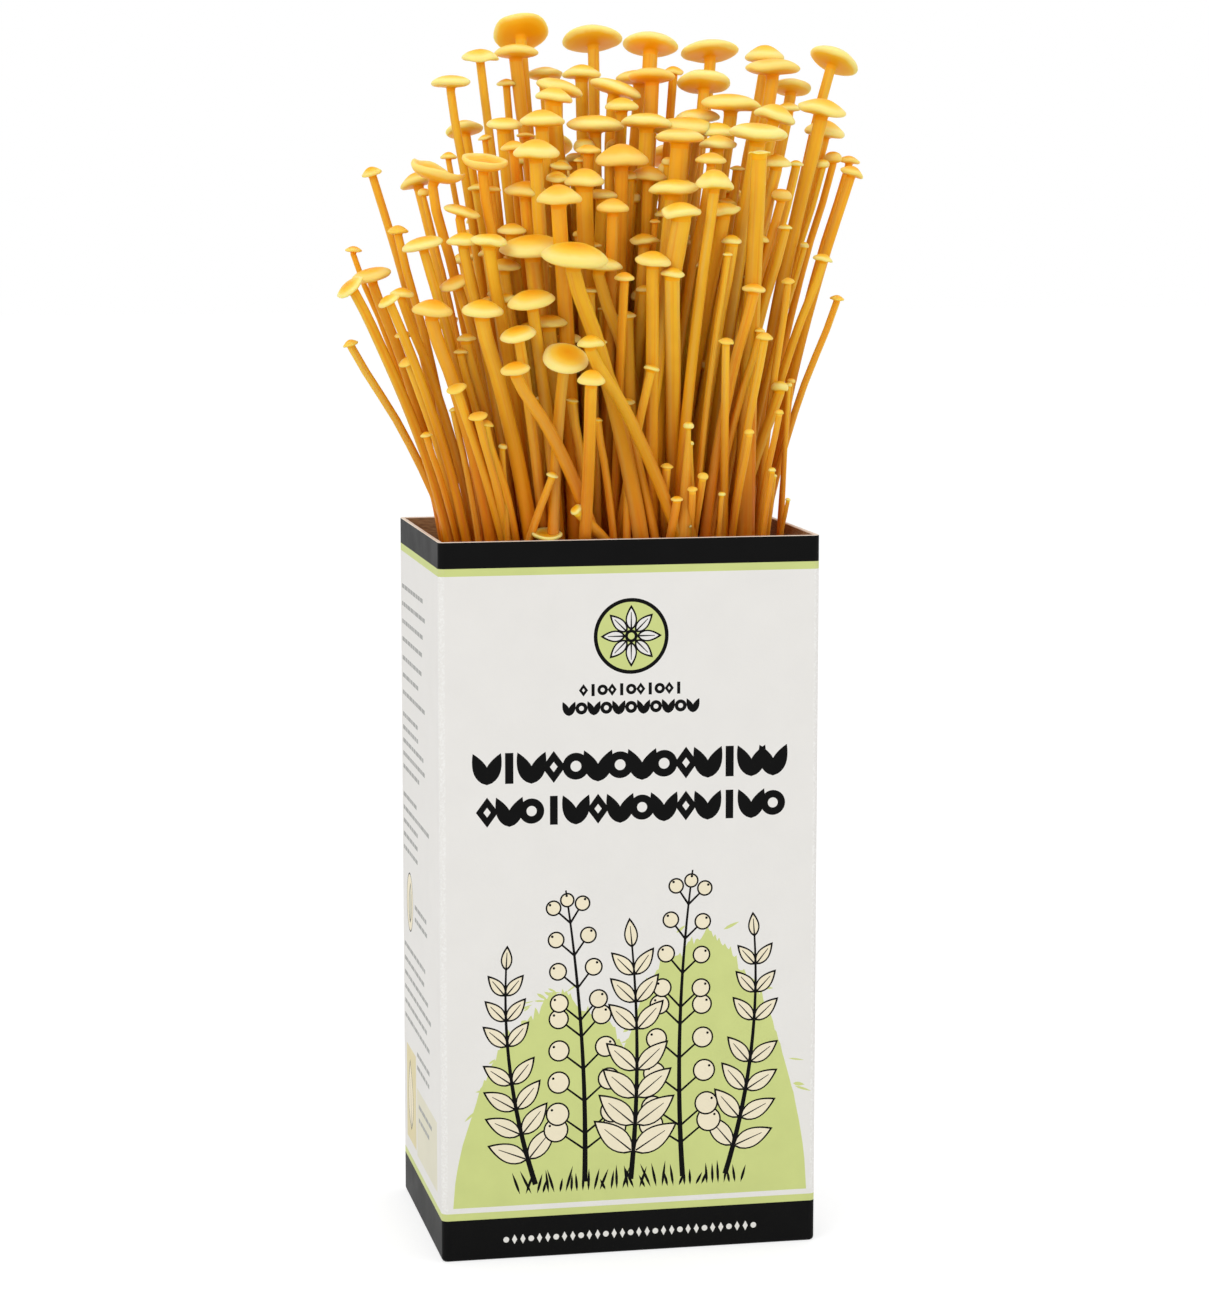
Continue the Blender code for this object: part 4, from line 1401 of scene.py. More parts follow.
CROWD_LEFT = laid_out(
    (-23, 36, 152, 14.5, 4.5, FLAT, 0, -4), (-26, 30, 142, 6.5, 2.5, DOME, 0, 0),
    (-11, 40, 145, 12, 4, DOME, 0, -8), (-16, 2, 137, 12.5, 6, DOME, 8, 2),
    (-33, -6, 128, 11.5, 5, FLAT, 0, 4), (-38, 4, 124, 4.5, 2, DOME, 0, 0),
    (-51, -4, 118, 5.5, 2, DOME, 0, 0), (-60, -14, 107, 4, 1.5, BUD, 0, 0),
    (-27, -26, 119, 14.5, 4.5, DOME, 0, 6), (-19, -20, 111, 7.5, 3, DOME, 0, 4),
    (-8, -14, 120, 8, 3.5, DOME, 0, 4), (-23, -40, 105, 14, 5, DOME, 0, 6),
    (-50, -30, 101, 11.5, 3, FLAT, 16, 8), (-5, -20, 106, 10.5, 4, FLAT, 0, 2),
    (-82, -8, 89, 5.5, 2, DOME, 4, 0), (-51, -36, 92, 10.5, 3.5, DOME, 0, 6),
    (-44, -40, 92, 11.5, 4, FLAT, 2, 6), (-34, -22, 95, 9.5, 4.5, DOME, 0, 2),
    (-9.5, -40, 84.8, 14.5, 4, FLAT, 8, 6, 14), (-70, -30, 76, 7.5, 3, DOME, 0, 6),
    (-75, -34, 74, 7, 3, DOME, -28, 8), (-38, -36, 74, 7, 3, DOME, -6, 4),
    (-37, -50, 64, 11.5, 3.5, FLAT, -14, 16), (-25, -34, 67, 12, 4.5, FLAT, -4, 4),
    (-19, -36, 61, 11, 3.5, FLAT, -14, 6), (-69, -26, 63, 5.5, 2.5, DOME, -6, 4),
    (-50, -34, 62, 6, 4, DOME, 0, 6), (-52, -30, 58, 4.5, 2.5, DOME, 0, 4),
    (-26, -37, 1, 9.8, 3.4, CUP, 4, 14, -26), (-17, -41, 9, 4, 3.6, BUD, -40, 26, -8),
    (-25, -41, 20, 4, 2.5, DOME, 14, 8, -31, 0.4), (-22, -33, 18, 3.4, 2.6, BUD, 14, 4, -27, 0.3),
    (-40, -40, 29, 2.8, 1.9, BUD, 6, 6, -38), (-10, -40, 37, 3, 2.5, DOME, 8, 6, -4),
    (-16, -10, 115, 7.5, 3.2, DOME, 0, 2), (-32, -14, 121, 8, 3.1, DOME, -4, 2),
    (-24.5, 0, 125, 6, 2.9, FLAT, 0, 0), (-39.5, -20, 108, 6, 2.5, FLAT, 2, 2),
    (-52, -31, 79, 11.5, 3.1, FLAT, -24, 6), (-37, -24, 84, 10.5, 3.7, DOME, 0, 4),
    (-10, -10, 117, 4, 2, DOME, 0, 2), (-5.5, -14, 110.5, 7.5, 2.8, DOME, 4, 4),
    (-13, -28, 94, 3.2, 2, BUD, 0, 4), (-8, -27, 90.5, 4.5, 2.2, DOME, 0, 4),
    (-11.5, -36, 77, 5.5, 3.1, FLAT, 4, 6), (-9.5, -41, 61.3, 4.2, 3, DOME, 4, 8, 9),
    (-63, -33, 32.5, 3.8, 2.2, DOME, -10, 6, -54), (-6, -32, 71, 3, 2, DOME, 0, 4),
    (-54, -34, 40, 3, 2.2, DOME, 0, 4, -46), (-18, -37, 43, 4, 3.2, DOME, 6, 6, -13),
    (-27.5, -38, 43.5, 3.8, 2.8, DOME, 4, 6, -25))
CROWD_RIGHT = laid_out(
    (61, 34, 151, 13.5, 4, DOME, 0, -4), (29, 30, 146, 7, 3, DOME, 0, -4),
    (17.4, 32, 143.8, 15.5, 4.2, FLAT, 0, -4), (7, 14, 140, 17.5, 4, FLAT, 16, 2),
    (7, 4, 134, 11, 4, DOME, 0, 4), (65, 18, 134, 8.5, 3.5, DOME, 0, 0), (74, 6, 126, 13.5, 4, DOME, 8, 2),
    (33, 8, 131, 14.5, 4, FLAT, 0, 2), (26, -8, 127, 22, 5, FLAT, 0, 2),
    (35, -14, 126, 12.5, 4, DOME, 0, 4), (41, -40, 119, 7, 5.2, CUP, 0, 4, 38, 0.4),
    (33, -24, 122, 12, 4, DOME, 0, 2), (28, -30, 117, 10, 3, DOME, 0, 4), (51, -22, 116, 10, 4, DOME, 0, 4),
    (59, -16, 116, 5, 3, DOME, 0, 4), (71, -4, 116, 4.5, 2, BUD, 0, 0), (76, 2, 118, 6, 2.5, BUD, 0, 0),
    (82, 4, 117, 7, 2.5, DOME, 8, 0), (11, -16, 112, 12, 4, DOME, 6, 4), (15, -6, 113, 9.5, 4, FLAT, 0, 2),
    (-5, -38, 102, 10.5, 4, DOME, 0, 6), (15, -42, 101, 12.5, 6.5, DOME, -2, 6),
    (31, -34, 101, 10.5, 4.5, DOME, 0, 6), (7, -34, 92, 9.5, 4, DOME, 0, 6),
    (12, -50, 82, 7.5, 5, DOME, 3, 8, 18), (33, -34, 92, 6.5, 4.5, DOME, -4, 6),
    (53, -26, 96, 4.5, 3, DOME, 0, 4), (6, -36, 77, 5.5, 4, DOME, 0, 4), (0, -38, 69, 6, 4.4, DOME, 0, 4),
    (43, -34, 64, 3.5, 2.5, DOME, 0, 6), (6, -42, 53, 5.2, 2.9, FLAT, 12, 8, 1),
    (-3, -40, 81, 6.5, 3, DOME, 0, 6), (31, -34, 88, 3.2, 2.2, DOME, 0, 4),
    (56, -20, 46, 2.4, 1.6, BUD, 0, 4, 55), (58, -18, 47, 2.6, 1.6, BUD, 0, 4, 57),
    (18, -42, 35, 3.4, 1.6, BUD, 0, 6, 18, 5), (20, -37, 29, 2.4, 1.9, BUD, 4, 6, 22),
    (15, -43, 12, 4, 2.8, DOME, 0, 8, 15, 0.4), (19, -38, 3, 2.8, 2.4, BUD, 0, 8, 19),
    (30, -38, 13, 2.4, 1.6, BUD, 4, 8, 30), (47, -35, 20, 2.4, 1.9, BUD, 0, 6, 45),
    (48, -35, 18, 2.1, 1.7, BUD, 4, 6, 47), (54, -30, 10, 1.8, 1.4, BUD, 4, 6, 53),
    (0, -40, 42, 5, 2.7, DOME, 2, 6, 0), (50, -16, 107, 3, 2, BUD, 0, 4), (64, -8, 90, 3, 2, BUD, 4, 4),
    (13.5, -28, 92, 3.5, 2, DOME, 0, 4), (11.5, -26, 98, 3.5, 2, DOME, 0, 4))


class Growth:
    """One mushroom while the clump settles: its knots and the disc it fills at each height."""

    def __init__(self, plant: Plant, family: int, bed: "Bed", upright: bool = False) -> None:
        """Starts the stem upright at its foot, leaning more and more towards its cap.

        Args:
            plant: the mushroom as laid out.
            family: the number of its tuft, or 0.
            bed: the bed that it grows on.
            upright: whether it leans less the lower it is.
        """
        self.plant = plant
        self.family = family
        self.bed = bed
        self.upright = upright
        self.knots = self._spine(bed.young_knots if family else bed.full_knots)
        self.start = self.knots[:, :2].copy()
        self.weights = np.zeros((len(bed.heights), len(self.knots)))
        self.offset = np.zeros((len(bed.heights), 2))
        self.radius = np.zeros(len(bed.heights))
        self._fill_stem()
        self._fill_cap()

    def _spine(self, count: int) -> np.ndarray:
        """Works out the stem's knots before the clump settles.

        Args:
            count: how many knots.

        Returns:
            The knots, one a row.
        """
        plant, bed = self.plant, self.bed
        middle = Vector((plant.x * MM, plant.y * MM, bed.rim + plant.rise * MM))
        top = middle - plant.axis() * plant.neck_drop()
        ease = max(0.0, 1 - plant.rise / bed.upright_rise) if self.upright else 0.0
        rim_x = plant.rim_x
        if rim_x is None:
            rim_x = plant.x * (bed.rim_share_x + (1 - bed.rim_share_x) * ease)
        at_rim = ((bed.rim - bed.ground) / (top.z - bed.ground)) ** bed.bend
        foot_x = (rim_x * MM - at_rim * top.x) / (1 - at_rim)
        rim_y = plant.y * (bed.rim_share_y + (1 - bed.rim_share_y) * ease)
        foot_y = (rim_y * MM - at_rim * top.y) / (1 - at_rim)
        knots = []
        for i in range(count):
            t = i / (count - 1)
            lean = t ** bed.bend
            knots.append((foot_x + (top.x - foot_x) * lean, foot_y + (top.y - foot_y) * lean,
                          bed.ground + (top.z - bed.ground) * t))
        return np.array(knots)

    def _fill_stem(self) -> None:
        """Sets the discs of the stem, wider where it leans."""
        levels = self.knots[:, 2]
        for k, z in enumerate(self.bed.heights):
            if levels[0] - self.bed.slice / 2 <= z <= levels[-1]:
                low = int(np.clip(np.searchsorted(levels, z) - 1, 0, len(levels) - 2))
                t = float(np.clip((z - levels[low]) / (levels[low + 1] - levels[low]), 0, 1))
                self.weights[k, low] = 1 - t
                self.weights[k, low + 1] = t
                run = np.linalg.norm(self.start[low + 1] - self.start[low])
                slope = math.hypot(1.0, run / (levels[low + 1] - levels[low]))
                share = max(0.0, z - levels[0]) / (levels[-1] - levels[0])
                self.radius[k] = self.plant.stem_radius(share) * slope

    def _fill_cap(self) -> None:
        """Sets the discs of the cap, which moves as one with the top of the stem."""
        points = self._cap_samples() + np.array(self.plant.axis()) * self.plant.neck_drop()
        level = points[:, 2] + self.knots[-1, 2]
        for k, z in enumerate(self.bed.heights):
            near = points[np.abs(level - z) <= self.bed.slice * 0.75]
            if len(near):
                middle = (near[:, :2].min(axis=0) + near[:, :2].max(axis=0)) / 2
                self.offset[k] = middle
                self.radius[k] = np.linalg.norm(near[:, :2] - middle, axis=1).max()
                self.weights[k] = 0
                self.weights[k, -1] = 1

    def _cap_samples(self, sides: int = 12, steps: int = 4) -> np.ndarray:
        """Samples the cap's surface.

        Args:
            sides: samples round each ring.
            steps: rings between two of the form's rings.

        Returns:
            Points with the cap's middle at zero.
        """
        plant, shape = self.plant, self.plant.form.value
        width = plant.cap * MM
        levels = [(plant.stem * MM / 2, shape.neck * width)]
        levels += [(r * width / 2, z * width) for r, z in (shape.under, shape.margin, shape.shoulder)]
        levels.append((0.0, shape.crown * width))
        axis = np.array(plant.axis())
        side = np.array((1.0, 0.0, 0.0)) - axis * axis[0]
        side /= np.linalg.norm(side)
        other = np.cross(axis, side)
        angles = 2 * np.pi * np.arange(sides) / sides
        circle = np.cos(angles)[:, None] * side + np.sin(angles)[:, None] * other
        points = []
        for (r0, z0), (r1, z1) in zip(levels, levels[1:]):
            for step in range(steps + 1):
                t = step / steps
                points.append(axis * (z0 + (z1 - z0) * t) + circle * (r0 + (r1 - r0) * t))
        return np.concatenate(points)


@dataclass
class Bed:
    """The ground that the clump grows on, and how crowded mushrooms lean out of each other's way."""

    rim: float
    ground: float
    half_x: float
    half_y: float
    middle_y: float
    tallest: float
    full_knots: int = 7
    young_knots: int = 5
    bend: float = 1.8
    rim_share_x: float = 0.66
    rim_share_y: float = 0.72
    foot_spread: float = 0.45
    room: float = 0.0007
    slice: float = 0.003
    rounds: int = 160
    smooth_rounds: int = 120
    upright_rise: float = 70.0
    sideways: float = 0.45
    smoothing: float = 0.08
    roundness: float = 4.0
    reach: float = 0.006
    watch: float = 0.035
    wall_weight: float = 30
    foot_cost: Point = (1.0, 0.1)
    top_cost: Point = (6.0, 0.2)

    def __post_init__(self) -> None:
        """Lays out the heights at which crowding is tested."""
        self.heights = np.arange(self.ground, self.rim + self.tallest * MM, self.slice)

    def _apart(self, places: np.ndarray, radii: np.ndarray, families: np.ndarray) -> np.ndarray:
        """Returns how far discs at one height move to stop crowding each other.

        Args:
            places: the discs' middles.
            radii: their radii.
            families: their tufts' numbers, or 0.

        Returns:
            A move for each disc.
        """
        gap = places[:, None, :] - places[None, :, :]
        distance = np.linalg.norm(gap, axis=2) + 1e-9
        short = np.clip(radii[:, None] + radii[None, :] + self.room - distance, 0, None)
        np.fill_diagonal(short, 0)
        short[(families[:, None] == families[None, :]) & (families[:, None] > 0)] = 0
        direction = gap / distance[:, :, None] * np.array((self.sideways, 1.0))
        return (direction * short[:, :, None]).sum(axis=1) * 0.5

    def _inside(self, places: np.ndarray, radii: np.ndarray) -> np.ndarray:
        """Returns how far discs below the rim move to stay within the rounded mouth of the bag.

        Args:
            places: the discs' middles.
            radii: their radii.

        Returns:
            A move for each disc.
        """
        local = places - (0, self.middle_y)
        out = (np.abs(local[..., 0] / (self.half_x - radii)) ** self.roundness
               + np.abs(local[..., 1] / (self.half_y - radii)) ** self.roundness) ** (1 / self.roundness)
        return local / np.maximum(out, 1)[..., None] - local

    def _gather_feet(self, growths: list[Growth]) -> None:
        """Brings the feet of each tuft together.

        Args:
            growths: all settling mushrooms.
        """
        for family in sorted({g.family for g in growths if g.family > 0}):
            members = [g for g in growths if g.family == family]
            middle = sum(g.knots[0, :2] for g in members) / len(members)
            for i, member in enumerate(members):
                turn = 2 * math.pi * i / len(members)
                reach = self.foot_spread * member.plant.stem * MM
                member.knots[0, :2] = middle + (reach * math.cos(turn), reach * math.sin(turn))

    def settle(self, growths: list[Growth]) -> None:
        """Lets mushrooms lean apart until none crowds another and all clear the carton.

        Args:
            growths: the mushrooms.
        """
        families = np.array([g.family for g in growths])
        radii = np.array([g.radius for g in growths])
        for turn in range(self.rounds):
            places = np.array([g.weights @ g.knots[:, :2] + g.offset for g in growths])
            moves = np.zeros_like(places)
            for k, z in enumerate(self.heights):
                here = radii[:, k] > 0
                if here.sum() > 1:
                    moves[here, k] = self._apart(places[here, k], radii[here, k], families[here])
                if z <= self.rim + self.slice and here.any():
                    moves[here, k] += self._inside(places[here, k] + moves[here, k], radii[here, k])
            for i, growth in enumerate(growths):
                active = np.abs(moves[i]).sum(axis=1) > 1e-7
                share = growth.weights[active].sum(axis=0)
                push = growth.weights[active].T @ moves[i, active] / np.maximum(share, 1)[:, None]
                growth.knots[:, :2] += push
                if turn < self.smooth_rounds:
                    shift = growth.knots[:, :2] - growth.start
                    growth.knots[1:-1, :2] += self.smoothing * (shift[:-2] + shift[2:] - 2 * shift[1:-1])
            self._gather_feet(growths)

    def squeeze_in(self, growths: list[Growth], settled: list[Growth]) -> None:
        """Finds room for more mushrooms among settled ones, one after another from front to back.

        Each keeps its smooth bend: only its foot and its top move, mostly in depth, to where it
        touches those before it least at the least cost of a move.

        Args:
            growths: the new mushrooms.
            settled: those that stay.
        """
        far = 10.0
        count = len(settled) + len(growths)
        taken = np.full((count, len(self.heights), 2), far)
        taken_radii = np.zeros((count, len(self.heights)))

        def note(i: int, growth: Growth) -> None:
            """Records where a mushroom stands.

            Args:
                i: its row.
                growth: the mushroom.
            """
            here = growth.radius > 0
            taken[i, here] = (growth.weights @ growth.knots[:, :2] + growth.offset)[here]
            taken_radii[i] = growth.radius

        for i, growth in enumerate(settled):
            note(i, growth)
        feet = np.array([(x, y) for x in (-6, -3, 0, 3, 6) for y in (-15, -10, -5, 0, 5, 10, 15)]) * MM
        tops = np.array([(x, y) for x in (-1, 0, 1) for y in np.linspace(-1, 1, 5)])
        tops *= (self.reach / 3, self.reach)
        foot = np.repeat(feet, len(tops), axis=0)
        tried = np.tile(tops, (len(feet), 1))
        in_order = sorted(growths, key=lambda growth: growth.plant.y)
        for i, growth in enumerate(in_order, start=len(settled)):
            top = tried * min(1.0, growth.plant.rise / self.upright_rise)
            cost = (foot ** 2 @ self.foot_cost) + (top ** 2 @ self.top_cost)
            level = growth.knots[:, 2]
            lean = ((level - level[0]) / (level[-1] - level[0])) ** self.bend
            rows = np.flatnonzero(growth.radius > 0)[::3]
            up = (growth.weights[rows] @ lean)[None, :, None]
            here = (growth.weights[rows] @ growth.knots[:, :2] + growth.offset[rows])[None]
            places = here + (1 - up) * foot[:, None] + up * top[:, None]
            near = np.linalg.norm(taken[:i, rows] - here, axis=2).min(axis=1) < self.watch
            gap = np.linalg.norm(places[:, None] - taken[:i, rows][near][None], axis=3)
            room = growth.radius[rows][None, None] + taken_radii[:i, rows][near][None] + self.room
            touch = (np.clip(room - gap, 0, None) ** 2).sum(axis=(1, 2))
            below = self.heights[rows] <= self.rim + self.slice
            out = np.linalg.norm(self._inside(places[:, below], growth.radius[rows][below][None]), axis=2)
            walls = self.wall_weight * (out ** 2).sum(axis=1)
            best = int(np.argmin(touch + walls + cost))
            growth.knots[:, :2] += (1 - lean)[:, None] * foot[best] + lean[:, None] * top[best]
            note(i, growth)


class SkinTree:
    """The Geometry Nodes tree that grows a skin round each mushroom's core.

    A core is a chain of points. Each point carries girth (the ring's radius), axis and lift (the
    cap's direction and how far the ring moves along it), wave (how far the rim may rise and fall),
    zone, tint and reach.
    """

    floats = ("girth", "lift", "wave", "zone", "tint", "reach")

    def __init__(self) -> None:
        """Builds the tree."""
        self.tree = bpy.data.node_groups.new("mushroom_skin", "GeometryNodeTree")
        face = self.tree.interface
        _, self.sides, self.ruffle, self.flesh = (
            face.new_socket(name, in_out="INPUT", socket_type="NodeSocket" + kind).identifier
            for name, kind in (("Cores", "Geometry"), ("Sides", "Int"), ("Ruffle", "Float"),
                               ("Flesh", "Material")))
        face.new_socket("Skins", in_out="OUTPUT", socket_type="NodeSocketGeometry")
        graph = Graph(self.tree)
        start, end = graph.node("NodeGroupInput"), graph.node("NodeGroupOutput")

        def named(name: str, kind: str = "FLOAT") -> Socket:
            """Reads an attribute of the cores."""
            return graph.node("GeometryNodeInputNamedAttribute", {"Name": name}, data_type=kind).outputs[0]

        def stored(points: Socket, name: str) -> Socket:
            """Keeps the points' places as an attribute.

            Args:
                points: the geometry.
                name: the attribute's name.

            Returns:
                The geometry with the attribute.
            """
            return graph.node("GeometryNodeStoreNamedAttribute",
                              {"Geometry": points, "Name": name, "Value": here},
                              data_type="FLOAT_VECTOR", domain="POINT").outputs[0]

        curve = graph.node("GeometryNodeMeshToCurve", {"Mesh": start.outputs["Cores"]}).outputs[0]
        here = graph.node("GeometryNodeInputPosition").outputs[0]
        curve = stored(curve, "core")
        circle = graph.node("GeometryNodeCurvePrimitiveCircle",
                            {"Resolution": start.outputs["Sides"], "Radius": 1.0}).outputs[0]
        circle = stored(circle, "ring")
        skin = graph.node("GeometryNodeCurveToMesh", {"Curve": curve, "Profile Curve": circle,
                                                      "Scale": named("girth"), "Fill Caps": True}).outputs[0]

        ring = named("ring", "FLOAT_VECTOR")
        own = graph.scaled((37.0, 19.0, 11.0), named("tint"))
        up = graph.node("ShaderNodeCombineXYZ", {2: graph.math("MULTIPLY", named("reach"), 9.0)}).outputs[0]
        around = graph.vector("ADD", graph.scaled(ring, 0.75), up)
        swell = self._noise(graph, graph.vector("ADD", around, own))
        roll = self._noise(graph, graph.vector("ADD", graph.scaled(ring, 0.55), graph.scaled(own, 1.7)))
        radial = graph.vector("SUBTRACT", here, named("core", "FLOAT_VECTOR"))
        outward = graph.scaled(radial, graph.math("MULTIPLY", swell, start.outputs["Ruffle"]))
        rise = graph.math("ADD", named("lift"), graph.math("MULTIPLY", roll, named("wave")))
        upward = graph.scaled(named("axis", "FLOAT_VECTOR"), rise)
        shift = graph.vector("ADD", outward, upward)
        for kind, inputs in (("SetPosition", {"Offset": shift}), ("SetShadeSmooth", {"Shade Smooth": True}),
                             ("RealizeInstances", {}), ("SetMaterial", {"Material": start.outputs["Flesh"]})):
            skin = graph.node("GeometryNode" + kind, {"Geometry": skin, **inputs}).outputs[0]
        graph.feed(end.inputs[0], skin)

    @staticmethod
    def _noise(graph: Graph, place: Socket) -> Socket:
        """Returns smooth noise from -1 to 1."""
        noise = graph.node("ShaderNodeTexNoise", {"Vector": place, "Scale": 1.0, "Detail": 1.0}).outputs[0]
        return graph.math("MULTIPLY", graph.math("SUBTRACT", noise, 0.5), 2.0)

    def grow(self, name: str, cores: list[dict[str, np.ndarray]], sides: int, ruffle: float,
             flesh: bpy.types.Material) -> bpy.types.Mesh:
        """Grows skins round cores.

        Args:
            name: the new mesh's name.
            cores: the cores, each a dict of arrays by attribute name and "place".
            sides: points round each ring.
            ruffle: how uneven the rings are, as a share of their radius.
            flesh: the material.

        Returns:
            One mesh with every skin.
        """
        mesh = bpy.data.meshes.new(name + "_cores")
        points = np.concatenate([core["place"] for core in cores])
        edges, first = [], 0
        for core in cores:
            count = len(core["place"])
            edges += [(first + i, first + i + 1) for i in range(count - 1)]
            first += count
        mesh.from_pydata(points.tolist(), edges, [])
        for label in self.floats:
            values = np.concatenate([core[label] for core in cores]).astype(np.float32)
            mesh.attributes.new(label, "FLOAT", "POINT").data.foreach_set("value", values)
        axes = np.concatenate([core["axis"] for core in cores]).astype(np.float32)
        mesh.attributes.new("axis", "FLOAT_VECTOR", "POINT").data.foreach_set("vector", axes.ravel())
        draft = placed(name + "_cores", mesh)
        modifier = draft.modifiers.new("skin", "NODES")
        modifier.node_group = self.tree
        for socket, value in ((self.sides, sides), (self.ruffle, ruffle), (self.flesh, flesh)):
            modifier[socket] = value
        skin = baked_mesh(draft, name)
        bpy.data.objects.remove(draft)
        bpy.data.meshes.remove(mesh)
        for label in ("girth", "lift", "wave", "axis", "core"):
            if label in skin.attributes:
                skin.attributes.remove(skin.attributes[label])
        return skin


@dataclass(frozen=True)
class Detail:
    """How finely a skin is made: rings up the stem, rings over the cap, and points round each."""

    stem_rings: int
    cap_rings: int
    sides: int


@dataclass
class Clump:
    """The clump of enoki: single mushrooms, young tufts and the crowd between and behind them."""

    bed: Bed
    effects: Effects
    large: Detail = Detail(22, 26, 28)
    small: Detail = Detail(14, 18, 20)
    carrier: float = 0.00012
    ruffle: float = 0.12
    follow: float = 0.65
    taper: float = 0.06
    heights: Point = (0.86, 1.14)
    waves: tuple[float, ...] = (0.07, 0.08, 0.10, 0.12, 0.14, 0.26)
    hidden_count: int = 110
    back_count: int = 46

    def core(self, growth: Growth, draw: random.Random, detail: Detail) -> dict[str, np.ndarray]:
        """Works out the core that one mushroom's skin grows round.

        Args:
            growth: the settled mushroom.
            draw: gives it its own tint and waviness.
            detail: how finely its skin is made.

        Returns:
            The core's arrays.
        """
        stem_rings, cap_rings = detail.stem_rings, detail.cap_rings
        plant, shape = growth.plant, growth.plant.form.value
        width = plant.cap * MM
        axis = np.array(plant.axis())
        knots = self.eased(growth)
        last = knots[-1] - knots[-2]
        arrival = self.follow * last / np.linalg.norm(last) + (1 - self.follow) * axis
        stem = smooth_through(knots, stem_rings, (0.0, 0.0, 1.0), arrival)
        share = (stem[:, 2] - stem[0, 2]) / (stem[-1, 2] - stem[0, 2])
        girth = np.array([plant.stem_radius(s) for s in share]) * (1.0 - self.taper * share)
        girth *= 1 + plant.cone * (1 - share)

        neck = girth[-1] / width * 2
        skin = [(r, z) for r, z in shape.skin if z > 0 or r > neck * 1.3]
        fold = skin[0][1] - 0.02
        under = (neck, shape.neck), (neck * 1.02, (shape.neck + fold) / 2), (neck * 1.10, fold)
        outline = np.array([*under, *skin])
        outline[:, 0] /= 2
        outline[outline[:, 1] > 0, 1] *= draw.uniform(*self.heights)
        profile = smooth_through(outline, cap_rings + 1, (0.0, 1.0), (-1.0, 0.0))[1:]
        margin = int(np.argmax(profile[:, 0]))
        radius = profile[:, 0] * width
        steps = np.arange(1, cap_rings + 1) * self.carrier
        spread = profile[:, 0] / profile[margin, 0]
        zone = np.where(np.arange(cap_rings) <= margin, 1 + spread, 3 - spread)
        wave = spread ** 2 * width * draw.choice(self.waves)
        tint = draw.random()
        zeros = np.zeros(stem_rings)
        stem_and_cap = {
            "place": (stem, stem[-1] + axis * steps[:, None]),
            "girth": (girth, radius),
            "lift": (zeros, (profile[:, 1] - shape.neck) * width - steps),
            "axis": (np.zeros((stem_rings, 3)), np.tile(axis, (cap_rings, 1))),
            "wave": (zeros, wave),
            "zone": (share, zone),
            "tint": (zeros + tint, np.full(cap_rings, tint)),
            "reach": (stem[:, 2], stem[-1, 2] + profile[:, 1] * width),
        }
        return {name: np.concatenate(parts) for name, parts in stem_and_cap.items()}

    @staticmethod
    def eased(growth: Growth) -> np.ndarray:
        """Takes the small wobbles of settling out of a stem; its ends stay.

        Args:
            growth: the settled mushroom.

        Returns:
            Its knots.
        """
        knots = growth.knots.copy()
        level = knots[:, 2:]
        t = (level - level[0]) / (level[-1] - level[0])
        shift = knots[:, :2] - growth.start
        straight = shift[0] * (1 - t) + shift[-1] * t
        bows = np.hstack([t * (1 - t), t * t * (1 - t)])
        fitted = bows @ np.linalg.lstsq(bows, shift - straight, rcond=None)[0]
        knots[:, :2] = growth.start + straight + fitted
        return knots

    def extras(self) -> list[Plant]:
        """Lays out the mushrooms that the front hides: the back of the clump and its inside.

        Returns:
            The plants, in a fixed order.
        """
        draw = random.Random(21)
        highest = 112
        plants = []
        for i in range(self.back_count):
            across = -1 + 2 * (i + 0.5) / self.back_count
            x = 8 + 52 * across + draw.uniform(-4, 4)
            rise = draw.uniform(24, highest) * (1 - 0.25 * across ** 2)
            y = 24 + 22 * (1 - 0.4 * across ** 2) * (0.55 + 0.45 * rise / highest) + draw.uniform(-4, 4)
            cap = 3.5 + 8.5 * (rise / highest) * draw.uniform(0.7, 1.1)
            form = draw.choice((DOME, DOME, FLAT, BUD)) if cap > 6 else draw.choice((DOME, BUD))
            plants.append(Plant(x, y, rise, cap, 2.2 + cap * 0.16, form, across * 12, -draw.uniform(4, 24)))
        for i in range(self.hidden_count):
            x = draw.uniform(-44, 54)
            y = draw.uniform(-24, 36)
            rise = draw.uniform(56, 128) - abs(y) * 0.3 - abs(x) * 0.25
            cap = draw.uniform(3.5, 7.5)
            plants.append(Plant(x, y, rise, cap, draw.uniform(2.6, 4.0), draw.choice((DOME, BUD)),
                                x * 0.1, -y * 0.15))
        return plants

    def build(self) -> None:
        """Settles the clump and builds its pieces."""
        singles = [Growth(plant, 0, self.bed) for plant in BACK_ROW + MIDDLE_ROW + FRONT_ROW]
        tufts = [[Growth(plant, number, self.bed) for plant in tuft]
                 for number, tuft in enumerate(YOUNG_TUFTS, start=1)]
        fixed = singles + [growth for tuft in tufts for growth in tuft]
        self.bed.settle(fixed)
        others = CROWD_LEFT + CROWD_RIGHT + self.extras()
        crowd = [Growth(plant, 0, self.bed, upright=True) for plant in others]
        self.bed.squeeze_in(crowd, fixed)
        log.info("settled %d mushrooms", len(fixed) + len(crowd))

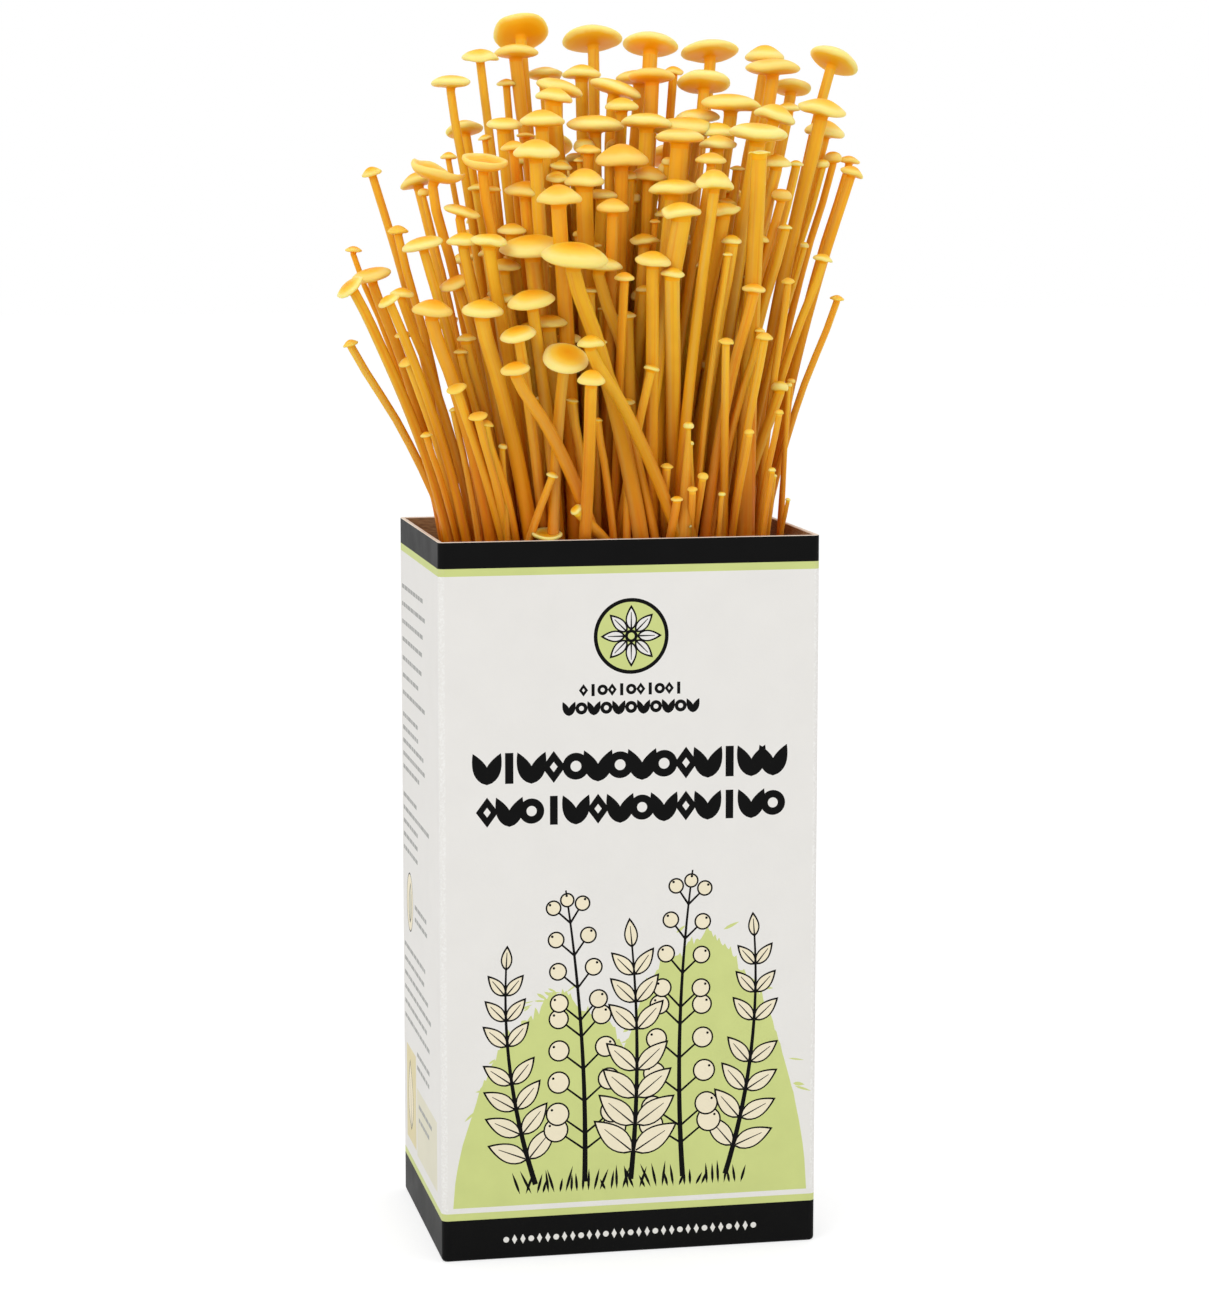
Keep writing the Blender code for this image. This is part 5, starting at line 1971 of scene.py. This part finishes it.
        skins = SkinTree()
        grown = FleshFinish("enoki_flesh", [
            (0.00, (223, 152, 12)), (0.12, (225, 160, 18)), (0.24, (228, 172, 32)), (0.33, (244, 192, 48)),
            (0.42, (248, 176, 8)), (0.55, (251, 188, 18)), (0.62, (253, 204, 56)), (0.655, (255, 232, 142)),
            (0.71, (255, 232, 148)), (0.77, (255, 212, 84)), (0.86, (254, 190, 40)), (1.00, (248, 166, 14))],
            self.bed.ground, self.bed.rim)
        young = FleshFinish("young_enoki_flesh", [
            (0.00, (228, 158, 14)), (0.20, (234, 176, 30)), (0.33, (246, 194, 52)), (0.50, (253, 188, 30)),
            (0.66, (254, 216, 100)), (1.00, (250, 178, 24))], self.bed.ground, self.bed.rim,
            depth=0.0013, relief=0.00002)
        flesh, young_flesh = grown.material(self.effects), young.material(self.effects)
        draw = random.Random(5)

        def add(name: str, growths: list[Growth], detail: Detail, nodes: tuple[str, ...],
                slot: str = "mushroom") -> None:
            """Grows and adds one piece.

            Args:
                name: its name.
                growths: its mushrooms.
                detail: how finely they are made.
                nodes: the CAD nodes that it stands for.
                slot: its kind, where young_mushroom gives it the young flesh.
            """
            cores = [self.core(growth, draw, detail) for growth in growths]
            skin = young_flesh if slot == "young_mushroom" else flesh
            add_piece(name, skins.grow(name, cores, detail.sides, self.ruffle, skin), nodes)

        for number, growth in enumerate(singles, start=1):
            add(f"enoki_{number:02d}", [growth], self.large, (f"mushroom_{number:02d}",))
        for number, tuft in enumerate(tufts, start=1):
            add(f"young_enoki_{number}", tuft, self.small, (f"young_tuft_{number}",), "young_mushroom")
        first = 0
        for name, count in (("left", len(CROWD_LEFT)), ("right", len(CROWD_RIGHT)),
                            ("back", self.back_count), ("inside", self.hidden_count)):
            add("crowd_" + name, crowd[first:first + count], self.small, ())
            first += count


@dataclass
class Studio:
    """A seamless white sweep, soft lamps and the photograph's camera."""

    eye: Vector
    effects: Effects
    yaw: float = 0.1983
    pitch: float = 0.1341
    lens: float = 96.0
    sensor: float = 36.0
    daylight: float = 0.81
    middle: float = 0.24
    reach: float = 8.0

    def build_camera(self) -> None:
        """Sets the camera."""
        data = bpy.data.cameras.new("camera")
        data.lens = self.lens
        data.sensor_width = self.sensor
        data.clip_end = 20.0
        camera = placed("camera", data)
        level = math.cos(self.pitch)
        sight = Vector((math.sin(self.yaw) * level, math.cos(self.yaw) * level, -math.sin(self.pitch)))
        camera.location = self.eye
        camera.rotation_euler = sight.to_track_quat("-Z", "Y").to_euler()
        bpy.context.scene.camera = camera

    def add_lamp(self, name: str, place: Vector, size: float, share: float) -> None:
        """Args:
            name: its name.
            place: where it stands.
            size: its width.
            share: how much light it adds, where 1 shows white paper as white.
        """
        aim = Vector((0.0, 0.0, self.middle)) - place
        data = bpy.data.lights.new(name, "AREA")
        data.shape = "SQUARE"
        data.size = size
        data.energy = share * math.pi ** 2 * aim.length ** 2
        lamp = placed(name, data)
        lamp.location = place
        lamp.rotation_euler = aim.to_track_quat("-Z", "Y").to_euler()

    def build_world(self) -> None:
        """Sets an even white surrounding."""
        world = bpy.data.worlds.new("surround")
        world.use_nodes = True
        bpy.context.scene.world = world
        graph = Graph(world.node_tree)
        background = world.node_tree.nodes["Background"]
        graph.feed(background.inputs["Color"], (1.0, 1.0, 1.0, 1.0))
        strength = graph.remap(graph.seen(), 0.0, 1.0, self.daylight, 1.0)
        graph.feed(background.inputs["Strength"], strength)

    def build_floor(self) -> None:
        bm = bmesh.new()
        bmesh.ops.create_grid(bm, x_segments=1, y_segments=1, size=self.reach)
        mesh = mesh_of(bm, "sweep")
        mesh.materials.append(SweepFinish().material(self.effects))
        sweep = placed("sweep", mesh)

    def build(self) -> None:
        """Builds the studio."""
        self.build_camera()
        self.build_world()
        self.build_floor()
        for name, place, size, share in (("key", (-1.2, -1.2, 1.2), 1.1, 0.22),
                                         ("top", (0.1, 0.1, 1.6), 1.0, 0.16),
                                         ("fill", (1.3, -0.9, 0.7), 1.0, 0.10)):
            self.add_lamp(name, Vector(place), size, share)
        bpy.context.scene.view_settings.view_transform = "Standard"


def main() -> None:
    logging.basicConfig(level=logging.INFO, format="%(message)s")
    effects = Effects()
    Studio(Vector((-0.2207, -1.0982, 0.3403)), effects).build()
    Carton(*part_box("carton"), effects).build()
    block = GrowBlock(effects)
    block.build_block()
    block.build_bag()
    half_x, half_y, middle_y = footprint("substrate_block")
    margin = 0.0020
    root_gap = 0.0003
    tallest = max(plant.rise + plant.cap for plant in BACK_ROW + MIDDLE_ROW + FRONT_ROW)
    bed = Bed(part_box("carton")[1].z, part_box("substrate_block")[1].z + root_gap, half_x - margin,
              half_y - margin, middle_y, tallest)
    Clump(bed, effects).build()


if __name__ == "__main__":
    main()
